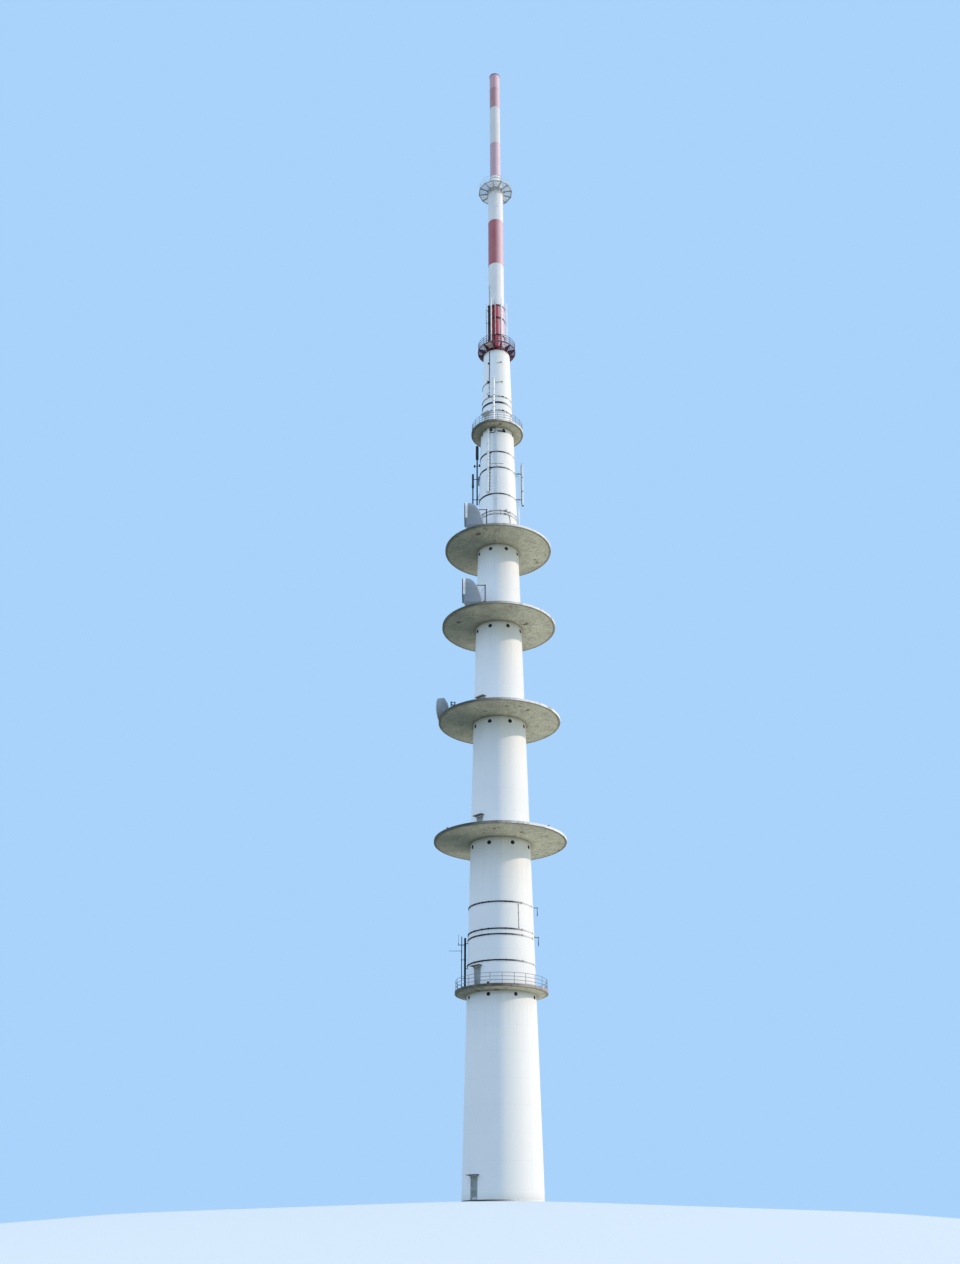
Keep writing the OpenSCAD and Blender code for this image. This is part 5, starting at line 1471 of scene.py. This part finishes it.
def make_right_antennas():
    """Tall mast pipe, two arms and three stacked panel antennas with end caps."""
    shape, dark, turn, z0 = Shape(), Shape(), turned(RIGHT), FLOORS["platform_4"]
    pipe_r = wall_r(z0) + 17
    panel_r, panel_z = pipe_r + 50, z0 + 649
    pipe, panel = turn @ moved(0, -pipe_r), turn @ moved(0, -panel_r)
    shape.rod(7, z0 + 1, z0 + 1150, pipe).rod(8, z0 + 1146, z0 + 1150.5, pipe)
    post_foot(shape, pipe @ moved(z=z0), 4.5)
    outline = rounded(-15, -10, 15, 10, (6, 6, 2, 2), 5)
    cap = [(x * 1.03, y * 1.04) for x, y in outline]
    for low in (panel_z, panel_z + 208, panel_z + 416):
        shape.prism(outline, low + 3, low + 205, panel)
        dark.prism(cap, low + 0.2, low + 4.2, panel).prism(cap, low + 203.8, low + 207.8, panel)
        for z in (low + 40, low + 168):
            dark.box(6, (9, 15), (z - 5, z + 5), panel)
        for x in (-7, 0, 7):
            dark.rod(1.6, low - 3.5, low + 1, panel @ moved(x), 8)
    for z in (8025, 8410):
        dark.box(3.2, (6 - panel_r, -wall_r(z) - 0.5), (z - 4, z + 4), turn)
        wall_foot(dark, RIGHT, z)
        pipe_clamp(dark, pipe @ moved(z=z), 8)
        dark.tube([(0, -pipe_r - 4, z - 4), (0, 4 - pipe_r, z - 30), (0, 1 - wall_r(z), z - 38)], 2.6, 8,
                  turn)
    dark.rod(3.8, panel_z + 10, panel_z + 614, panel @ moved(0, 15), 10)
    piece("right_mast_and_panels", shape, "steel_white", "right_side_antennas")
    piece("panel_caps_and_clamps", dark, "dark_metal", finish="black_steel")


def make_low_antennas():
    """Pipes, whip and small beam antenna over the lower gallery, and two stubs on the right."""
    shape, turn, z0 = Shape(), turned(LEFT), FLOORS["lower_gallery"]
    pipe_r, arm, beam = wall_r(z0) + 19, z0 + 480, z0 + 422
    rod_r, whip_r = pipe_r + 36, pipe_r + 69
    pipe, rod, whip = (turn @ moved(0, -r) for r in (pipe_r, rod_r, whip_r))
    shape.rod(11.2, z0 + 1, z0 + 556, pipe, 20).rod(12, z0 + 553, z0 + 556.5, pipe, 20)
    shape.rod(4.6, z0 + 1, z0 + 572, rod, 12).rod(5.6, z0 + 400, z0 + 440, rod, 12)
    shape.pad(16, 16, (0, 2.5), 3, pipe @ moved(z=z0)).pad(9, 9, (0, 2.2), 2, rod @ moved(z=z0))
    shape.rod(1.6, arm + 4, arm + 112, whip, 10)
    shape.lathe([(0, -0.5), (4, -0.5), (4, 20), (1.6, 28), (0, 28)], 12, whip, (0, arm))
    shape.box(3, (-whip_r - 3, 2 - pipe_r), (arm + 1, arm + 7), turn)
    for z in (z0 + 140, z0 + 330, arm + 4):
        pipe_clamp(shape, pipe @ moved(z=z), 11)
        pipe_clamp(shape, rod @ moved(z=z), 4.6)
        shape.box(2.5, (-rod_r, -pipe_r), (z - 2.2, z + 2.2), turn)
    for z in (z0 + 240, z0 + 500):
        shape.box(4, (-pipe_r, 1 - wall_r(z)), (z - 2.5, z + 2.5), turn)
        wall_foot(shape, LEFT, z, 10, 10)
    shape.tube([(0, 4 - rod_r, beam), (0, -rod_r - 130, beam)], 1.7, 8, turn)
    for k in range(1, 6):
        y, half = 2 - rod_r - 26 * k, 32.5 - 1.8 * k
        shape.tube([(-half, y, beam), (half, y, beam)], 1, 6, turn)
        shape.rod(2.6, -2.2, 2.2, turn @ moved(0, y, beam) @ FACE_OUT, 8)
    turn = turned(RIGHT)
    for z in (2880, 2566):
        reach = wall_r(z) + 46
        stub = turn @ moved(0, -reach, z)
        shape.box(3, (-reach, -wall_r(z) - 0.5), (z - 3, z + 3), turn)
        wall_foot(shape, RIGHT, z, 9, 9)
        shape.rod(3, -90, 8, stub, 12).rod(4, -88, -46, stub, 12)
        pipe_clamp(shape, stub, 3)
    piece("low_pipes_and_whips", shape, "dark_metal", "low_antennas", finish="black_steel")


def make_rim_lamps():
    """Two box lamps on the rim of platform 1 and a caged globe on the lower gallery."""
    shape, glass = Shape(), Shape()
    for bearing in (-9, 91):
        place = turned(bearing) @ moved(0, 22 - box_of("platform_1")[1].x, FLOORS["platform_1"])
        shape.pad(10, 10, (0, 2.5), 2, place).pad(8.8, (-8, 9.2), (2.5, 17), 2, place)
        shape.pad(9.8, (-9.8, 10), (17, 19.8), 2, place)
        for z in (6, 9.5, 13):
            shape.box(9.2, (8.5, 10), (z - 0.6, z + 0.6), place)
        glass.pad(7.6, (-9.3, -7), (4, 16), 1, place)
    place = turned(27) @ moved(0, 25.2 - box_of("lower_gallery")[1].x, FLOORS["lower_gallery"])
    cage, globe = 12.1, 11.2
    shape.lathe([(0, 0), (8.5, 0), (8.5, 2), (5, 3.5), (5, 5.5), (0, 5.5)], 20, place)
    for x, y in circle(6, cage):
        shape.tube([(x * math.sin(t), y * math.sin(t), 12 - cage * math.cos(t))
                    for t in (math.radians(38 + 14.2 * k) for k in range(11))], 0.4, 6, place)
    shape.hoop(cage, 12, 0.4, 32, 6, place)
    shape.lathe([(globe * math.sin(t), 12 - globe * math.cos(t))
                 for t in (math.pi * k / 14 for k in range(15))],
                24, place)
    piece("rim_lamp_housings", shape, "dark_metal", "rim_lamps", finish="black_steel")
    piece("rim_lamp_covers", glass, "dark_metal", finish="lamp_cover")


for make in (make_vents, make_drip_edges, make_doors, make_canopies, make_concrete_gallery_railings,
             make_band_locks, make_ducts, make_ladder, make_wall_fittings, make_steel_gallery,
             make_steel_gallery_beams, make_steel_gallery_railing, make_core_fittings, make_cage_fittings,
             make_feeders, make_cylinder_joints, make_ring_gallery, make_cone_fittings, make_cap, make_shells,
             make_dish, make_posts, make_left_antennas, make_right_antennas, make_low_antennas,
             make_rim_lamps):
    make()


# Camera, light and floor


def place_camera():
    data = bpy.data.cameras.new("camera")
    data.sensor_width, data.lens = 36, LENS_MM
    data.clip_start, data.clip_end = 0.1, 400
    camera = placed("camera", data)
    camera.location = MM * (out_at(CAMERA_BEARING, CAMERA_DISTANCE, CAMERA_HEIGHT)
                            - out_at(CAMERA_BEARING + 90, CAMERA_SIDE))
    camera.rotation_euler = (math.radians(90 + CAMERA_TILT), 0, math.radians(CAMERA_BEARING))
    bpy.context.scene.camera = camera


def light_the_scene():
    """Soft blue light from above, a low sun at the right and its soft return from the ground."""
    scene = bpy.context.scene
    scene.view_settings.view_transform = "Standard"
    scene.world = bpy.data.worlds.new("studio")
    scene.world.use_nodes = True
    sky = Tree(scene.world.node_tree)
    up = sky.shade("SeparateXYZ", [sky.shade("TexCoord", out="Generated")], 2)
    glow = sky.mix(sky.spread(up, -0.06, 0.10), (0.30, 0.33, 0.24), (0.80, 1.06, 1.42))
    light = sky.shade("Background", [glow, 1.0])
    shown = sky.shade("Background", [(0.40, 0.65, 0.97, 1.0), 1.0])
    mixed = sky.shade("MixShader", [sky.seen_share(), light, shown])
    sky.tree.links.new(mixed.socket, sky.tree.nodes["World Output"].inputs[0])
    for name, bearing, height, strength, width, colour in (
            ("sun", SUN_BEARING, SUN_HEIGHT, 2.1, 0.8, (1.0, 0.80, 0.62)),
            ("ground_return", SUN_BEARING + 22, -58, 1.45, 40, (1.0, 0.96, 0.82))):
        data = bpy.data.lights.new(name, "SUN")
        data.energy, data.angle, data.color = strength, math.radians(width), colour
        high = math.radians(height)
        aim = out_at(bearing, math.cos(high), math.sin(high))
        placed(name, data).rotation_euler = aim.to_track_quat("Z", "Y").to_euler()


def lay_floor():
    """A pale rise, drawn in metres, that falls away from the tower's foot and throws back only dull light."""
    rise = [(60, -6), (30, -3), (13, -1), (4, -0.16), (1.2, -0.01), (0.7, -0.0005), (0, -0.0005)]
    mesh = Shape().lathe(rise, 96).mesh()
    paint = Finish("floor", Roughness=0.9)
    paint.colour = paint.mix(paint.seen_share(), (0.19, 0.19, 0.12), (0.62, 0.64, 0.62))
    mesh.materials.append(paint.done())
    floor = placed("floor", mesh)
    floor.visible_shadow = False


place_camera()
light_the_scene()
lay_floor()
